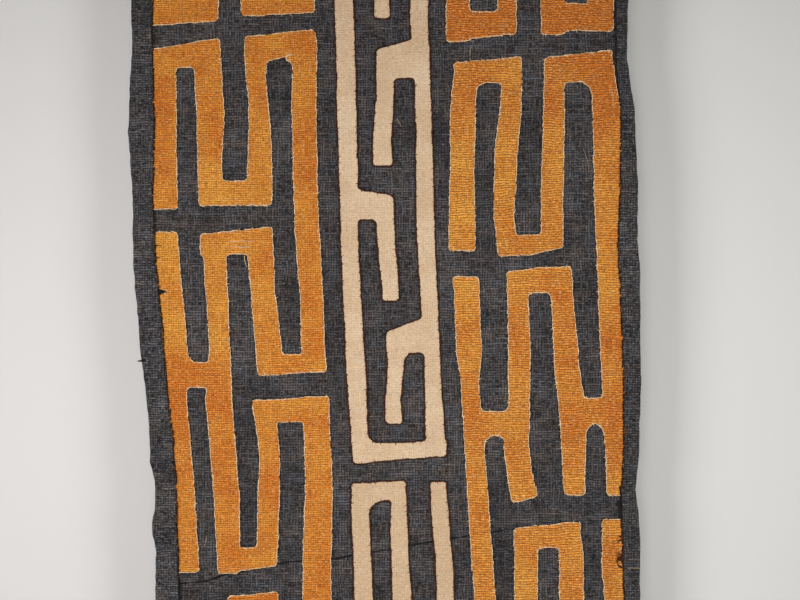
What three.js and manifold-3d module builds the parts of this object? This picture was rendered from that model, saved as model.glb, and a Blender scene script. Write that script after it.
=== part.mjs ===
// Hanging raffia cloth: a charcoal ground in two panels, a dark strip sewn down each side,
// two columns of orange meanders and one column of cream hooks sewn on the front.
// Millimetres, +Z up. The origin is the middle of the top edge, the front faces -Y.

import * as THREE from 'three';
import { mergeVertices } from 'three/addons/utils/BufferGeometryUtils.js';
import Module from 'manifold-3d';

// Driving dimensions
const CLOTH_LENGTH = 890;
const GROUND_THICKNESS = 1.5;
const PIECE_THICKNESS = 1.0;
const STRIP_THICKNESS = 1.5;
const GAP = 0.3;
const HEM_HEIGHT = 18;
const HEM_FOLD = 1.5;
const CORNER_RADIUS = 5;
const SLOT_RADIUS = 6;
const STRIP_OVERLAP = 9;
const CELL_WIDTH = 40;
const CELL_HEIGHT = 90;
const SLAB_WIDTH = 620;
const SLAB_LENGTH = 930;
const SLAB_DEPTH = 60;
const CURVE_STEPS = 3;
const CORNER_BITE = 2;

// The tables below are read from a plumb line 385 mm left of the cloth's middle
// and from a level line 150 mm below its top edge, d counting downwards.
const DATUM_X = -385;
const DATUM_Z = -150;
const TOP = -150;
const BOTTOM = TOP + CLOTH_LENGTH;
const FAR_LEFT = 60;
const FAR_RIGHT = 710;
const FAR_END = 10;

// Finishes
const CHARCOAL = { color: 0x423f40, roughness: 0.95, metalness: 0 };
const STRIP_CHARCOAL = { color: 0x3a3839, roughness: 0.95, metalness: 0 };
const ORANGE = { color: 0xcd8237, roughness: 0.85, metalness: 0 };
const CREAM = { color: 0xd7b99b, roughness: 0.85, metalness: 0 };

// Side strips: a row for each section, with the outer and the inner edge of the strip.
const LEFT_STRIP = [
  { d: -150, outer: 131, inner: 152 },
  { d: 0, outer: 131, inner: 152 },
  { d: 50, outer: 132, inner: 152 },
  { d: 130, outer: 128, inner: 154 },
  { d: 200, outer: 132, inner: 152 },
  { d: 260, outer: 133, inner: 155 },
  { d: 305, outer: 137, inner: 160 },
  { d: 350, outer: 141, inner: 164 },
  { d: 400, outer: 147, inner: 168 },
  { d: 440, outer: 151, inner: 173 },
  { d: 490, outer: 157, inner: 176 },
  { d: 520, outer: 154, inner: 177 },
  { d: 560, outer: 156, inner: 178 },
  { d: 620, outer: 156, inner: 179 },
  { d: 740, outer: 160, inner: 182 },
];
const RIGHT_STRIP = [
  { d: -150, outer: 630, inner: 616 },
  { d: 0, outer: 628, inner: 616 },
  { d: 60, outer: 627, inner: 616 },
  { d: 110, outer: 634, inner: 621 },
  { d: 180, outer: 637, inner: 621 },
  { d: 240, outer: 637, inner: 618 },
  { d: 300, outer: 640, inner: 621 },
  { d: 390, outer: 640, inner: 624 },
  { d: 450, outer: 639, inner: 624 },
  { d: 490, outer: 635, inner: 622 },
  { d: 530, outer: 640, inner: 622 },
  { d: 600, outer: 640, inner: 625 },
  { d: 740, outer: 642, inner: 626 },
];

// The slanting join between the two ground panels.
const GROUND_JOIN = [
  { x: FAR_LEFT, d: 602 },
  { x: 178, d: 583 },
  { x: 207, d: 580 },
  { x: 225, d: 574 },
  { x: 285, d: 562 },
  { x: 335, d: 558 },
  { x: 380, d: 550 },
  { x: 430, d: 541 },
  { x: 500, d: 530 },
  { x: 617, d: 502 },
  { x: FAR_RIGHT, d: 480 },
];

// Slack of the hanging cloth: soft upright rolls, a row for each, at their middle line.
// rise is towards the front, from and to are the depths where the roll fades out.
const ROLLS = [
  { x: 132, width: 34, rise: -4.5, from: 40, to: 300 },
  { x: 150, width: 30, rise: 5.0, from: 330, to: 700 },
  { x: 236, width: 60, rise: 2.4, from: 20, to: 420 },
  { x: 300, width: 70, rise: -2.2, from: 260, to: 740 },
  { x: 395, width: 80, rise: 2.6, from: 120, to: 620 },
  { x: 470, width: 60, rise: -2.4, from: 30, to: 480 },
  { x: 560, width: 70, rise: 2.2, from: 240, to: 760 },
  { x: 636, width: 34, rise: 5.0, from: 60, to: 420 },
  { x: 640, width: 32, rise: -4.0, from: 430, to: 760 },
];

// Cut pieces. A line is one stroke of a piece, a leg or a cross bar, and each row in it ends a section:
// the place of the stroke's middle line, x and d, and its width w across.
const COLUMNS = ['x', 'd', 'w'];

const ORANGE_LEFT = [
  [[163, 49, 26], [164, 209, 27]],
  [[150, 59, 19], [220, 53, 29]],
  [[208, 41, 26], [208, 75, 27], [211, 115, 28], [210, 165, 24], [211, 206, 24]],
  [[199, 194, 24], [272, 193, 25]],
  [[257, 36, 24], [256, 75, 20], [259, 110, 20], [260, 150, 23], [260, 206, 25]],
  [[245, 49, 24], [316, 43, 26]],
  [[305, 31, 24], [304, 110, 24], [306, 200, 24], [309, 260, 24], [312, 295, 23], [314, 372, 23]],
  [[259, 365, 21], [326, 363, 17]],
  [[260, 229, 25], [261, 262, 26], [263, 290, 24], [268, 340, 26], [270, 375, 24]],
  [[201, 245, 22], [272, 240, 26]],
  [[214, 234, 24], [217, 290, 22], [220, 345, 20], [219, 400, 26], [227, 500, 25], [229, 573, 21]],
  [[180, 375, 25], [215, 375, 25]],
  [[164, 232, 27], [170, 300, 26], [175, 345, 25], [176, 400, 22], [184, 490, 21], [187, 572, 25]],
  [[218, 561, 22], [277, 556, 20]],
  [[266, 400, 26], [268, 430, 21], [269, 490, 21], [267, 566, 20]],
  [[253, 411, 22], [329, 410, 25]],
  [[315, 398, 27], [318, 450, 26], [319, 485, 27], [317, 560, 28], [317, 690, 30]],
];

const ORANGE_RIGHT = [
  [[465, 61, 22], [463, 110, 25], [462, 170, 24], [462, 251, 27]],
  [[454, 73, 20], [521, 70, 26]],
  [[512, 57, 19], [511, 105, 21], [506, 155, 23], [504, 215, 20], [508, 256, 20]],
  [[499, 246, 21], [530, 245, 20], [563, 240, 15]],
  [[554, 57, 20], [554, 110, 21], [552, 200, 22], [552, 248, 22]],
  [[544, 70, 25], [612, 66, 32]],
  [[600, 50, 24], [604, 92, 26], [609, 130, 31], [609, 200, 30], [613, 345, 26], [617, 495, 20]],
  [[565, 411, 26], [624, 411, 26]],
  [[558, 267, 26], [562, 300, 22], [567, 370, 25], [571, 400, 26], [573, 440, 25], [574, 495, 20]],
  [[507, 283, 22], [535, 280, 25], [571, 279, 26]],
  [[517, 272, 20], [519, 340, 22], [519, 400, 21], [516, 445, 25], [519, 470, 25], [525, 502, 28]],
  [[474, 423, 24], [520, 423, 24]],
  [[466, 277, 25], [469, 350, 25], [470, 385, 18], [477, 485, 20], [485, 600, 21], [488, 690, 21]],
];

const ORANGE_TOP_A = [
  [[163, -100, 27], [163, 25, 26]],
  [[150, 13, 25], [218, 9, 25]],
  [[207, -98, 23], [207, 21, 23]],
];

const ORANGE_TOP_B = [
  [[254, -100, 26], [254, 16, 26]],
  [[241, 3, 26], [314, 0, 26]],
  [[302, -102, 25], [302, 13, 25]],
];

const ORANGE_TOP_C = [
  [[458, -100, 23], [458, 42, 23]],
  [[446, 27, 30], [516, 23, 22]],
  [[507, -102, 20], [507, 35, 19]],
];

const ORANGE_TOP_D = [
  [[552, -100, 24], [553, 35, 24]],
  [[541, 20, 31], [572, 17, 27], [613, 18, 27]],
  [[601, -100, 26], [600, 31, 26]],
];

const ORANGE_FOOT_A = [
  [[238, 597, 19], [239, 690, 19]],
  [[228, 608, 23], [278, 604, 24]],
  [[268, 593, 20], [269, 690, 20]],
];

const ORANGE_FOOT_B = [
  [[526, 528, 23], [526, 600, 23], [527, 690, 23]],
  [[514, 538, 20], [580, 534, 25]],
  [[569, 522, 20], [571, 560, 24], [572, 690, 24]],
];

const ORANGE_FOOT_C = [
  [[613, 519, 22], [613, 560, 23], [617, 600, 24], [619, 690, 24]],
];

const CREAM_FRAME = [
  [[344, -110, 19], [344, 0, 19], [347, 110, 20], [350, 250, 18], [356, 370, 20], [361, 463, 16]],
  [[419, -110, 19], [419, 20, 19], [423, 90, 16], [426, 240, 19], [432, 360, 16], [436, 457, 21]],
  [[353, 453, 22], [398, 451, 17], [447, 448, 16]],
  [[346, -84, 30], [389, -80, 25]],
  [[381, -92, 18], [382, 19, 16]],
  [[376, 64, 30], [420, 58, 41]],
  [[385, 50, 18], [385, 95, 18], [382, 140, 19], [383, 166, 20]],
  [[350, 204, 32], [394, 208, 25]],
  [[385, 196, 18], [386, 235, 18], [391, 301, 17]],
  [[386, 343, 23], [430, 334, 37]],
  [[395, 332, 18], [396, 365, 17], [393, 400, 16], [394, 424, 18]],
];

const CREAM_FOOT_A = [
  [[360, 483, 18], [360, 510, 18], [364, 600, 19], [366, 690, 19]],
  [[351, 492, 18], [406, 490, 20]],
  [[399, 481, 14], [399, 530, 18], [402, 600, 19], [404, 690, 19]],
];

const CREAM_FOOT_B = [
  [[438, 481, 17], [441, 530, 18], [444, 560, 18], [449, 690, 19]],
];

const wasm = await Module();
wasm.setup();

// Closed mesh to solid, with shared vertices merged.
function solidFrom(geometry) {
  geometry.deleteAttribute('normal');
  geometry.deleteAttribute('uv');
  const merged = mergeVertices(geometry, 1e-4);
  const mesh = new wasm.Mesh({
    numProp: 3,
    vertProperties: new Float32Array(merged.attributes.position.array),
    triVerts: new Uint32Array(merged.index.array),
  });
  return new wasm.Manifold(mesh);
}

// Solid back to a geometry.
function geometryFrom(solid) {
  const mesh = solid.getMesh();
  const geometry = new THREE.BufferGeometry();
  geometry.setAttribute('position', new THREE.BufferAttribute(mesh.vertProperties, 3));
  geometry.setIndex(new THREE.BufferAttribute(mesh.triVerts, 1));
  geometry.computeVertexNormals();
  return geometry;
}

// How far the hanging cloth stands in front of the plumb plane at a place of the tables.
function slack(x, d) {
  let front = 0;
  for (const roll of ROLLS) {
    const across = Math.exp(-(((x - roll.x) / roll.width) ** 2));
    const share = THREE.MathUtils.clamp((d - roll.from) / (roll.to - roll.from), 0, 1);
    front += roll.rise * across * Math.sin(Math.PI * share) ** 2;
  }
  return front;
}

// Everything behind a surface that follows the slack of the cloth, that far in front of its middle.
function behind(front) {
  const cellsAcross = Math.round(SLAB_WIDTH / CELL_WIDTH);
  const cellsDown = Math.round(SLAB_LENGTH / CELL_HEIGHT);
  const geometry = new THREE.BoxGeometry(SLAB_WIDTH, SLAB_DEPTH, SLAB_LENGTH, cellsAcross, 1, cellsDown);
  geometry.translate(0, 0, -CLOTH_LENGTH / 2);
  const position = geometry.attributes.position;
  for (let i = 0; i < position.count; i += 1) {
    if (position.getY(i) > 0) continue;
    const d = DATUM_Z - position.getZ(i);
    position.setY(i, -slack(position.getX(i) - DATUM_X, d) - front);
  }
  return solidFrom(geometry);
}

// A layer of the hanging cloth, between two such surfaces.
const layer = (back, front) => behind(front).subtract(behind(back));

// A flat outline of the tables, cut through the whole depth of the hanging cloth.
function cutThrough(shape) {
  const settings = { depth: SLAB_DEPTH, bevelEnabled: false, curveSegments: CURVE_STEPS };
  const geometry = new THREE.ExtrudeGeometry(shape, settings);
  geometry.translate(DATUM_X, DATUM_Z, -SLAB_DEPTH / 2);
  geometry.rotateX(Math.PI / 2);
  return solidFrom(geometry);
}

// An outline through the given corners, each one rounded.
function roundedOutline(corners, radius) {
  const shape = new THREE.Shape();
  corners.forEach((corner, i) => {
    const before = corners.at(i - 1);
    const after = corners[(i + 1) % corners.length];
    const start = before.clone().sub(corner).setLength(radius).add(corner);
    const end = after.clone().sub(corner).setLength(radius).add(corner);
    if (i === 0) shape.moveTo(start.x, start.y);
    else shape.lineTo(start.x, start.y);
    shape.quadraticCurveTo(corner.x, corner.y, end.x, end.y);
  });
  shape.closePath();
  return shape;
}

// Rows of bare columns to rows with names.
const named = (rows) => rows.map((row) => Object.fromEntries(COLUMNS.map((name, i) => [name, row[i]])));

// A leg runs down the cloth, a cross bar runs across it.
const isLeg = (stroke) => Math.abs(stroke.at(-1).d - stroke[0].d) > Math.abs(stroke.at(-1).x - stroke[0].x);

// Middle line and width of a stroke at a place along its run, straight between its sections.
function strokeAt(stroke, along) {
  const [run, side] = isLeg(stroke) ? ['d', 'x'] : ['x', 'd'];
  const next = Math.max(1, stroke.findIndex((row) => row[run] >= along));
  const last = along > stroke.at(-1)[run] ? stroke.length - 1 : next;
  const share = (along - stroke[last - 1][run]) / (stroke[last][run] - stroke[last - 1][run]);
  return {
    middle: THREE.MathUtils.lerp(stroke[last - 1][side], stroke[last][side], share),
    width: THREE.MathUtils.lerp(stroke[last - 1].w, stroke[last].w, share),
  };
}

// The outline of a stroke: down one side of its sections and back up the other, ends rounded.
function strokeOutline(stroke) {
  const leg = isLeg(stroke);
  const sideOf = (sign) => stroke.map((row) => (leg
    ? new THREE.Vector2(row.x + (sign * row.w) / 2, -row.d)
    : new THREE.Vector2(row.x, -row.d + (sign * row.w) / 2)));
  const corners = [...sideOf(-1), ...sideOf(1).reverse()];
  return roundedOutline(corners, CORNER_RADIUS);
}

// The rounded end of a slot, where an edge of a leg meets an edge of a bar.
// The edges cross where each one lies at the other's place, found by going back and forth.
function slotCorners(leg, bar) {
  const corners = [];
  for (const legSide of [-1, 1]) {
    for (const barSide of [-1, 1]) {
      let x = (leg[0].x + leg.at(-1).x) / 2;
      let d = bar[0].d;
      for (let round = 0; round < 6; round += 1) {
        const barHere = strokeAt(bar, x);
        d = barHere.middle + (barSide * barHere.width) / 2;
        const legHere = strokeAt(leg, d);
        x = legHere.middle + (legSide * legHere.width) / 2;
      }
      const tipX = x + legSide * SLOT_RADIUS;
      const tipD = d + barSide * SLOT_RADIUS;
      const onBar = tipX > bar[0].x && tipX < bar.at(-1).x;
      const onLeg = tipD > leg[0].d && tipD < leg.at(-1).d;
      if (onBar && onLeg) corners.push({ x, d, legSide, barSide });
    }
  }
  return corners;
}

// The cloth left standing in such a corner, between the two edges and a hollow curve.
function slotCornerOutline({ x, d, legSide, barSide }) {
  const shape = new THREE.Shape();
  shape.moveTo(x - legSide * CORNER_BITE, -d + barSide * CORNER_BITE);
  shape.lineTo(x + legSide * SLOT_RADIUS, -d + barSide * CORNER_BITE);
  shape.lineTo(x + legSide * SLOT_RADIUS, -d);
  shape.quadraticCurveTo(x, -d, x, -d - barSide * SLOT_RADIUS);
  shape.lineTo(x - legSide * CORNER_BITE, -d - barSide * SLOT_RADIUS);
  shape.closePath();
  return shape;
}

// A cut piece: its strokes and slot corners joined, laid on the cloth in the given layer.
function cutPiece(table, slab) {
  const strokes = table.map(named);
  let solid = cutThrough(strokeOutline(strokes[0]));
  for (const stroke of strokes.slice(1)) {
    solid = solid.add(cutThrough(strokeOutline(stroke)));
  }
  for (const leg of strokes.filter(isLeg)) {
    for (const bar of strokes.filter((stroke) => !isLeg(stroke))) {
      for (const corner of slotCorners(leg, bar)) {
        solid = solid.add(cutThrough(slotCornerOutline(corner)));
      }
    }
  }
  return solid.intersect(slab);
}

// A smooth edge through the rows of a strip, down the cloth.
function stripEdge(rows, edge) {
  const knots = rows.map((row) => new THREE.Vector2(row[edge], -row.d));
  return new THREE.SplineCurve(knots).getPoints(knots.length * CURVE_STEPS);
}

// A closed outline between two edges that run the same way.
const outlineBetween = (first, second) => new THREE.Shape([...first, ...second.slice().reverse()]);

// An edge moved sideways.
const moved = (edge, dx) => edge.map((point) => new THREE.Vector2(point.x + dx, point.y));

// The ground's side edges lie hidden under the side strips, and its panels meet at the join.
const groundLeft = moved(stripEdge(LEFT_STRIP, 'inner'), -STRIP_OVERLAP);
const groundRight = moved(stripEdge(RIGHT_STRIP, 'inner'), STRIP_OVERLAP);
const joinLine = GROUND_JOIN.map((row) => new THREE.Vector2(row.x, -row.d));
const farAbove = joinLine.map((point) => new THREE.Vector2(point.x, -TOP + FAR_END));
const farBelow = joinLine.map((point) => new THREE.Vector2(point.x, -BOTTOM - FAR_END));
const lowered = joinLine.map((point) => new THREE.Vector2(point.x, point.y - GAP));

// The layers of the hanging cloth, from its turned hems at the back to the side strips at the front.
const groundSlab = layer(-GROUND_THICKNESS / 2, GROUND_THICKNESS / 2);
const pieceBack = GROUND_THICKNESS / 2 + GAP;
const pieceSlab = layer(pieceBack, pieceBack + PIECE_THICKNESS);
const stripBack = pieceBack + PIECE_THICKNESS + GAP;
const stripSlab = layer(stripBack, stripBack + STRIP_THICKNESS);
const hemSlab = layer(-GROUND_THICKNESS / 2 - HEM_FOLD, 0);

// A level band of the cloth between two depths.
function band(from, to) {
  return new THREE.Shape([
    new THREE.Vector2(FAR_LEFT, -from),
    new THREE.Vector2(FAR_LEFT, -to),
    new THREE.Vector2(FAR_RIGHT, -to),
    new THREE.Vector2(FAR_RIGHT, -from),
  ]);
}

// A ground panel: the part of the ground on one side of the join, with its hem turned to the back.
function groundPanel(part, hemFrom, hemTo) {
  const outline = cutThrough(outlineBetween(groundLeft, groundRight)).intersect(cutThrough(part));
  const hem = outline.intersect(cutThrough(band(hemFrom, hemTo))).intersect(hemSlab);
  return outline.intersect(groundSlab).add(hem);
}

const cloth = new THREE.Group();
cloth.name = 'raffia_cloth';

function addNode(name, solid, finish) {
  const mesh = new THREE.Mesh(geometryFrom(solid), new THREE.MeshStandardMaterial(finish));
  mesh.name = name;
  cloth.add(mesh);
}

addNode('ground_upper', groundPanel(outlineBetween(joinLine, farAbove), TOP, TOP + HEM_HEIGHT), CHARCOAL);
addNode('ground_lower', groundPanel(outlineBetween(farBelow, lowered), BOTTOM - HEM_HEIGHT, BOTTOM), CHARCOAL);

for (const [name, rows] of [['left_strip', LEFT_STRIP], ['right_strip', RIGHT_STRIP]]) {
  const outline = outlineBetween(stripEdge(rows, 'outer'), stripEdge(rows, 'inner'));
  addNode(name, cutThrough(outline).intersect(stripSlab), STRIP_CHARCOAL);
}

const ORANGE_PIECES = {
  orange_left: ORANGE_LEFT,
  orange_right: ORANGE_RIGHT,
  orange_top_a: ORANGE_TOP_A,
  orange_top_b: ORANGE_TOP_B,
  orange_top_c: ORANGE_TOP_C,
  orange_top_d: ORANGE_TOP_D,
  orange_foot_a: ORANGE_FOOT_A,
  orange_foot_b: ORANGE_FOOT_B,
  orange_foot_c: ORANGE_FOOT_C,
};
for (const [name, table] of Object.entries(ORANGE_PIECES)) {
  addNode(name, cutPiece(table, pieceSlab), ORANGE);
}

const CREAM_PIECES = {
  cream_frame: CREAM_FRAME,
  cream_foot_a: CREAM_FOOT_A,
  cream_foot_b: CREAM_FOOT_B,
};
for (const [name, table] of Object.entries(CREAM_PIECES)) {
  addNode(name, cutPiece(table, pieceSlab), CREAM);
}

export default cloth;
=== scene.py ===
"""Appliqued raffia cloth hanging: its panels, strips, sewn-on pieces, thread and studio.

Places on the cloth are given as x and d in millimetres: x runs from left to right and d runs down.
The hanging plane stands upright, its front looks along -Y, and the top edge lies at Z = 0.
"""

import logging
import math
from dataclasses import dataclass, field
from enum import Enum

import bpy
import numpy as np
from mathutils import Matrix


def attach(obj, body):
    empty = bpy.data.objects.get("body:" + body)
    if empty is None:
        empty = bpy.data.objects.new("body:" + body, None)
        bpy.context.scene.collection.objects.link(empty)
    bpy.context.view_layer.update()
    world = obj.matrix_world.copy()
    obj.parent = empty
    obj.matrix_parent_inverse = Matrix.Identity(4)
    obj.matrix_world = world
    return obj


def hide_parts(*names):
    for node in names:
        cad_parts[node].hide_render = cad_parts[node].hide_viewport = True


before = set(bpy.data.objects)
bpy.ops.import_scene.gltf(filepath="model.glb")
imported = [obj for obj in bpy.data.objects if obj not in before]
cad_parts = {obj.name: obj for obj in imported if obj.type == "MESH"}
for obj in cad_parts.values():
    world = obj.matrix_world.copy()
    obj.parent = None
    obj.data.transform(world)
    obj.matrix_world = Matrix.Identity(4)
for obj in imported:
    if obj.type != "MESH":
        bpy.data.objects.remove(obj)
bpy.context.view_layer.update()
log = logging.getLogger("raffia_hanging")

# One millimetre in metres, and the place of the part's origin on the cloth.
MM = 0.001
X_DATUM = 385.0
D_DATUM = 150.0

# Both ends of the cloth and the height of its hems.
TOP = -150.0
BOTTOM = 740.0
HEM = 18.0

# Rounding of a stroke's own corners, and width of the blend where two strokes cross.
CORNER = 3.0
BLEND = 6.5

# Rings of a turned edge: push outwards, height over the field, and darkness. Up to 1, the darkness turns the
# rim toward the edge colour, partly the turned edge's own colour and partly painted shade. Above 1.1 it is a
# painted contact shadow, on the two outer rings, which lie almost flat on the ground.
RIM_RINGS = ((0.75, -0.12, 0.2), (1.25, -0.45, 0.5), (1.6, -0.95, 1.0), (1.8, -1.2, 1.7), (2.45, -1.5, 2.0))

Rows = tuple[tuple[float, ...], ...]
Strokes = tuple[Rows, ...]
Colour = tuple[float, float, float]
Place = tuple[float, float, float]
Socket = bpy.types.NodeSocket

# Side strips: d, outer edge, inner edge.
LEFT_STRIP: Rows = (
    (-150, 131, 152), (0, 131, 152), (50, 132, 152), (130, 128, 154), (200, 132, 152),
    (260, 133, 155), (305, 137, 160), (350, 141, 164), (400, 147, 168), (440, 150.5, 173),
    (462, 151.5, 174.3), (488, 157, 176), (502, 156, 176.4), (522, 153, 177), (536, 153.8, 177.4),
    (551, 157, 178), (575, 156, 178), (620, 156, 179), (740, 160, 182),
)
RIGHT_STRIP: Rows = (
    (-150, 630, 616), (0, 628, 616), (60, 627, 616), (110, 634, 621), (180, 637, 621),
    (240, 637, 618), (300, 640, 621), (390, 640, 624), (450, 639, 624), (490, 635, 622),
    (530, 640, 622), (600, 640, 625), (740, 642, 626),
)

# Slanting join of the two ground panels: x, d.
GROUND_JOIN: Rows = (
    (60, 602), (178, 583), (207, 580), (225, 574), (285, 562), (335, 558), (380, 550),
    (430, 541), (500, 530), (617, 502), (710, 480),
)

# Soft upright rolls of the hanging cloth: middle x, width, rise to the front, from d, to d.
ROLLS: Rows = (
    (132, 34, -4.5, 40, 300), (150, 30, 5.0, 330, 700), (236, 60, 2.4, 20, 420),
    (300, 70, -2.2, 260, 740), (395, 80, 2.6, 120, 620), (470, 60, -2.4, 30, 480),
    (560, 70, 2.2, 240, 760), (636, 34, 5.0, 60, 420), (640, 32, -4.0, 430, 760),
)


def corner(x: float, d: float, wide: float, tall: float, right: bool, foot: bool) -> Rows:
    """A short upright stroke that fills an inner corner up to a quarter of an oval.

    At a share t of its height it reaches wide * (1 - sqrt(1 - (1 - t)^2)) into the slot.

    Args:
        x: Side edge of the slot.
        d: Top or foot edge of the slot.
        wide: Width of the rounding.
        tall: Height of the rounding.
        right: True where the corner is on the slot's right side.
        foot: True where it is at the slot's foot.

    Returns:
        The stroke's rows, from the upper one to the lower one.
    """
    side, way = (-1 if right else 1), (-1 if foot else 1)
    rows = [(x + side * (wide - 6) / 2, d - 4 * way, wide + 6)]
    for share in (0.04, 0.16, 0.36, 0.64, 1.0):
        reach = wide * (1 - (1 - (1 - share) ** 2) ** 0.5)
        rows.append((x + side * (reach - 6) / 2, d + way * share * tall, reach + 6))
    return tuple(rows[::way])


# Strokes of the cut pieces. Each row ends a section: middle x, middle d, width.
ORANGE_LEFT: Strokes = (
    ((163, 57, 26), (164, 209, 27)),
    ((150, 59, 19), (220, 53, 29)),
    ((208, 48, 26), (208, 75, 27), (211, 115, 28), (210, 165, 24), (211, 201, 24)),
    ((199, 194, 24), (272, 193, 25)),
    ((257, 45, 24), (256, 75, 20), (259, 110, 20), (260, 150, 23), (260, 200, 25)),
    ((245, 49, 24), (266, 49, 27), (292, 43, 23), (316, 42, 24)),
    ((305, 40, 24), (304, 110, 24), (306, 200, 24), (309, 260, 24), (312, 295, 23), (314, 372, 23)),
    ((259, 365, 21), (326, 363, 17)),
    ((260, 229, 25), (261, 262, 26), (263, 290, 24), (268, 340, 26), (270, 375, 24)),
    ((201, 245, 22), (272, 240, 26)),
    ((214, 234, 24), (217, 290, 22), (220, 345, 20), (219, 400, 26), (227, 500, 25), (229, 573, 21)),
    ((180, 375, 25), (215, 375, 25)),
    ((164, 232, 27), (170, 300, 26), (175, 345, 25), (176, 400, 22), (184, 490, 21), (187, 572, 25)),
    ((218, 561, 22), (277, 556, 20)),
    ((264, 400, 24), (266, 420, 22), (268.5, 440, 20), (269.5, 462, 20), (269, 490, 21), (267, 566, 20)),
    ((258, 411, 22), (300, 410, 23), (329, 409, 26)),
    ((315, 397, 27), (318, 450, 26), (319, 485, 27), (317, 560, 28), (317, 690, 30)),
    corner(292.5, 59, 8, 9, True, False),
    corner(187.0, 362, 9, 14, False, True),
)
ORANGE_RIGHT: Strokes = (
    ((465, 68, 22), (463, 110, 25), (462, 170, 24), (462, 251, 27)),
    ((454, 73, 20), (521, 70, 26)),
    ((512, 64, 19), (511, 105, 21), (506, 155, 23), (504, 215, 20), (508, 256, 20)),
    ((499, 246, 21), (530, 245, 20), (563, 240, 15)),
    ((554, 65, 20), (554, 110, 21), (552, 200, 22), (552, 248, 22)),
    ((544, 70, 25), (612, 66, 32)),
    ((600, 58, 24), (604, 92, 26), (609, 130, 31), (609, 200, 30), (613, 345, 26), (617, 495, 20)),
    ((565, 411, 26), (624, 411, 26)),
    ((558, 267, 26), (562, 300, 22), (567, 370, 25), (571, 400, 26), (573, 440, 25), (574, 495, 20)),
    ((507, 283, 22), (535, 280, 25), (571, 279, 26)),
    ((517, 272, 20), (519, 340, 22), (519, 400, 21), (516, 445, 25), (519, 470, 25), (525, 502, 28)),
    ((474, 423, 24), (520, 423, 24)),
    ((466, 277, 25), (469, 350, 25), (470, 385, 18), (477, 485, 20), (485, 600, 21), (488, 690, 21)),
    corner(484.0, 435, 9, 12, False, False), corner(506.0, 435, 9, 12, True, False),
    corner(585.5, 424, 8, 11, False, False), corner(603.5, 424, 8, 11, True, False),
    corner(475.5, 83, 9, 9, False, False), corner(591.0, 83, 9, 11, True, False),
)
ORANGE_TOP_A: Strokes = (
    ((163, -100, 27), (163, 25, 26)),
    ((150, 13, 25), (218, 9, 25)),
    ((207, -98, 23), (207, 21, 23)),
)
ORANGE_TOP_B: Strokes = (
    ((254, -100, 26), (254, 16, 26)),
    ((241, 3, 26), (314, 0, 26)),
    ((302, -102, 25), (302, 13, 25)),
)
ORANGE_TOP_C: Strokes = (
    ((458, -100, 23), (458, 42, 23)),
    ((446, 27, 30), (516, 23, 22)),
    ((507, -102, 20), (507, 35, 19)),
)
ORANGE_TOP_D: Strokes = (
    ((552, -100, 24), (553, 35, 24)),
    ((541, 20, 31), (572, 17, 27), (613, 18, 27)),
    ((601, -100, 26), (600, 31, 26)),
)
ORANGE_FOOT_A: Strokes = (
    ((238, 597, 19), (239, 690, 19)),
    ((228, 608, 23), (278, 604, 24)),
    ((268, 593, 20), (269, 690, 20)),
)
ORANGE_FOOT_B: Strokes = (
    ((526, 528, 23), (526, 600, 23), (527, 690, 23)),
    ((514, 538, 20), (580, 534, 25)),
    ((569, 522, 20), (571, 560, 24), (572, 690, 24)),
)
ORANGE_FOOT_C: Strokes = (((613, 519, 22), (613, 560, 23), (617, 600, 24), (619, 690, 24)),)
CREAM_FRAME: Strokes = (
    ((344, -110, 19), (344, 0, 19), (347, 110, 20), (350, 250, 18), (356, 370, 20), (361, 463, 16)),
    ((419, -110, 19), (419, 20, 19), (423, 90, 16), (426, 240, 19), (432, 360, 16), (436, 457, 21)),
    ((353, 453, 22), (398, 451, 17), (447, 448, 16)),
    ((346, -84, 30), (389, -80, 25)),
    ((381, -92, 18), (382, 19, 16)),
    ((376, 64, 30), (420, 58, 41)),
    ((385, 50, 18), (385, 95, 18), (382, 140, 19), (383, 166, 20)),
    ((350, 204, 32), (394, 208, 25)),
    ((385, 196, 18), (386, 235, 18), (391, 301, 17)),
    ((386, 343, 23), (430, 334, 37)),
    ((395, 332, 18), (396, 365, 17), (393, 400, 16), (394, 424, 18)),
    corner(367.5, 443, 10, 12, False, True), corner(402.5, 353, 9, 22, False, False),
)
CREAM_FOOT_A: Strokes = (
    ((360, 483, 18), (360, 510, 18), (364, 600, 19), (366, 690, 19)),
    ((351, 492, 18), (406, 490, 20)),
    ((399, 481, 14), (399, 530, 18), (402, 600, 19), (404, 690, 19)),
    corner(369.0, 501, 13, 12, False, False),
)
CREAM_FOOT_B: Strokes = (((438, 481, 17), (441, 530, 18), (444, 560, 18), (449, 690, 19)),)

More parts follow.
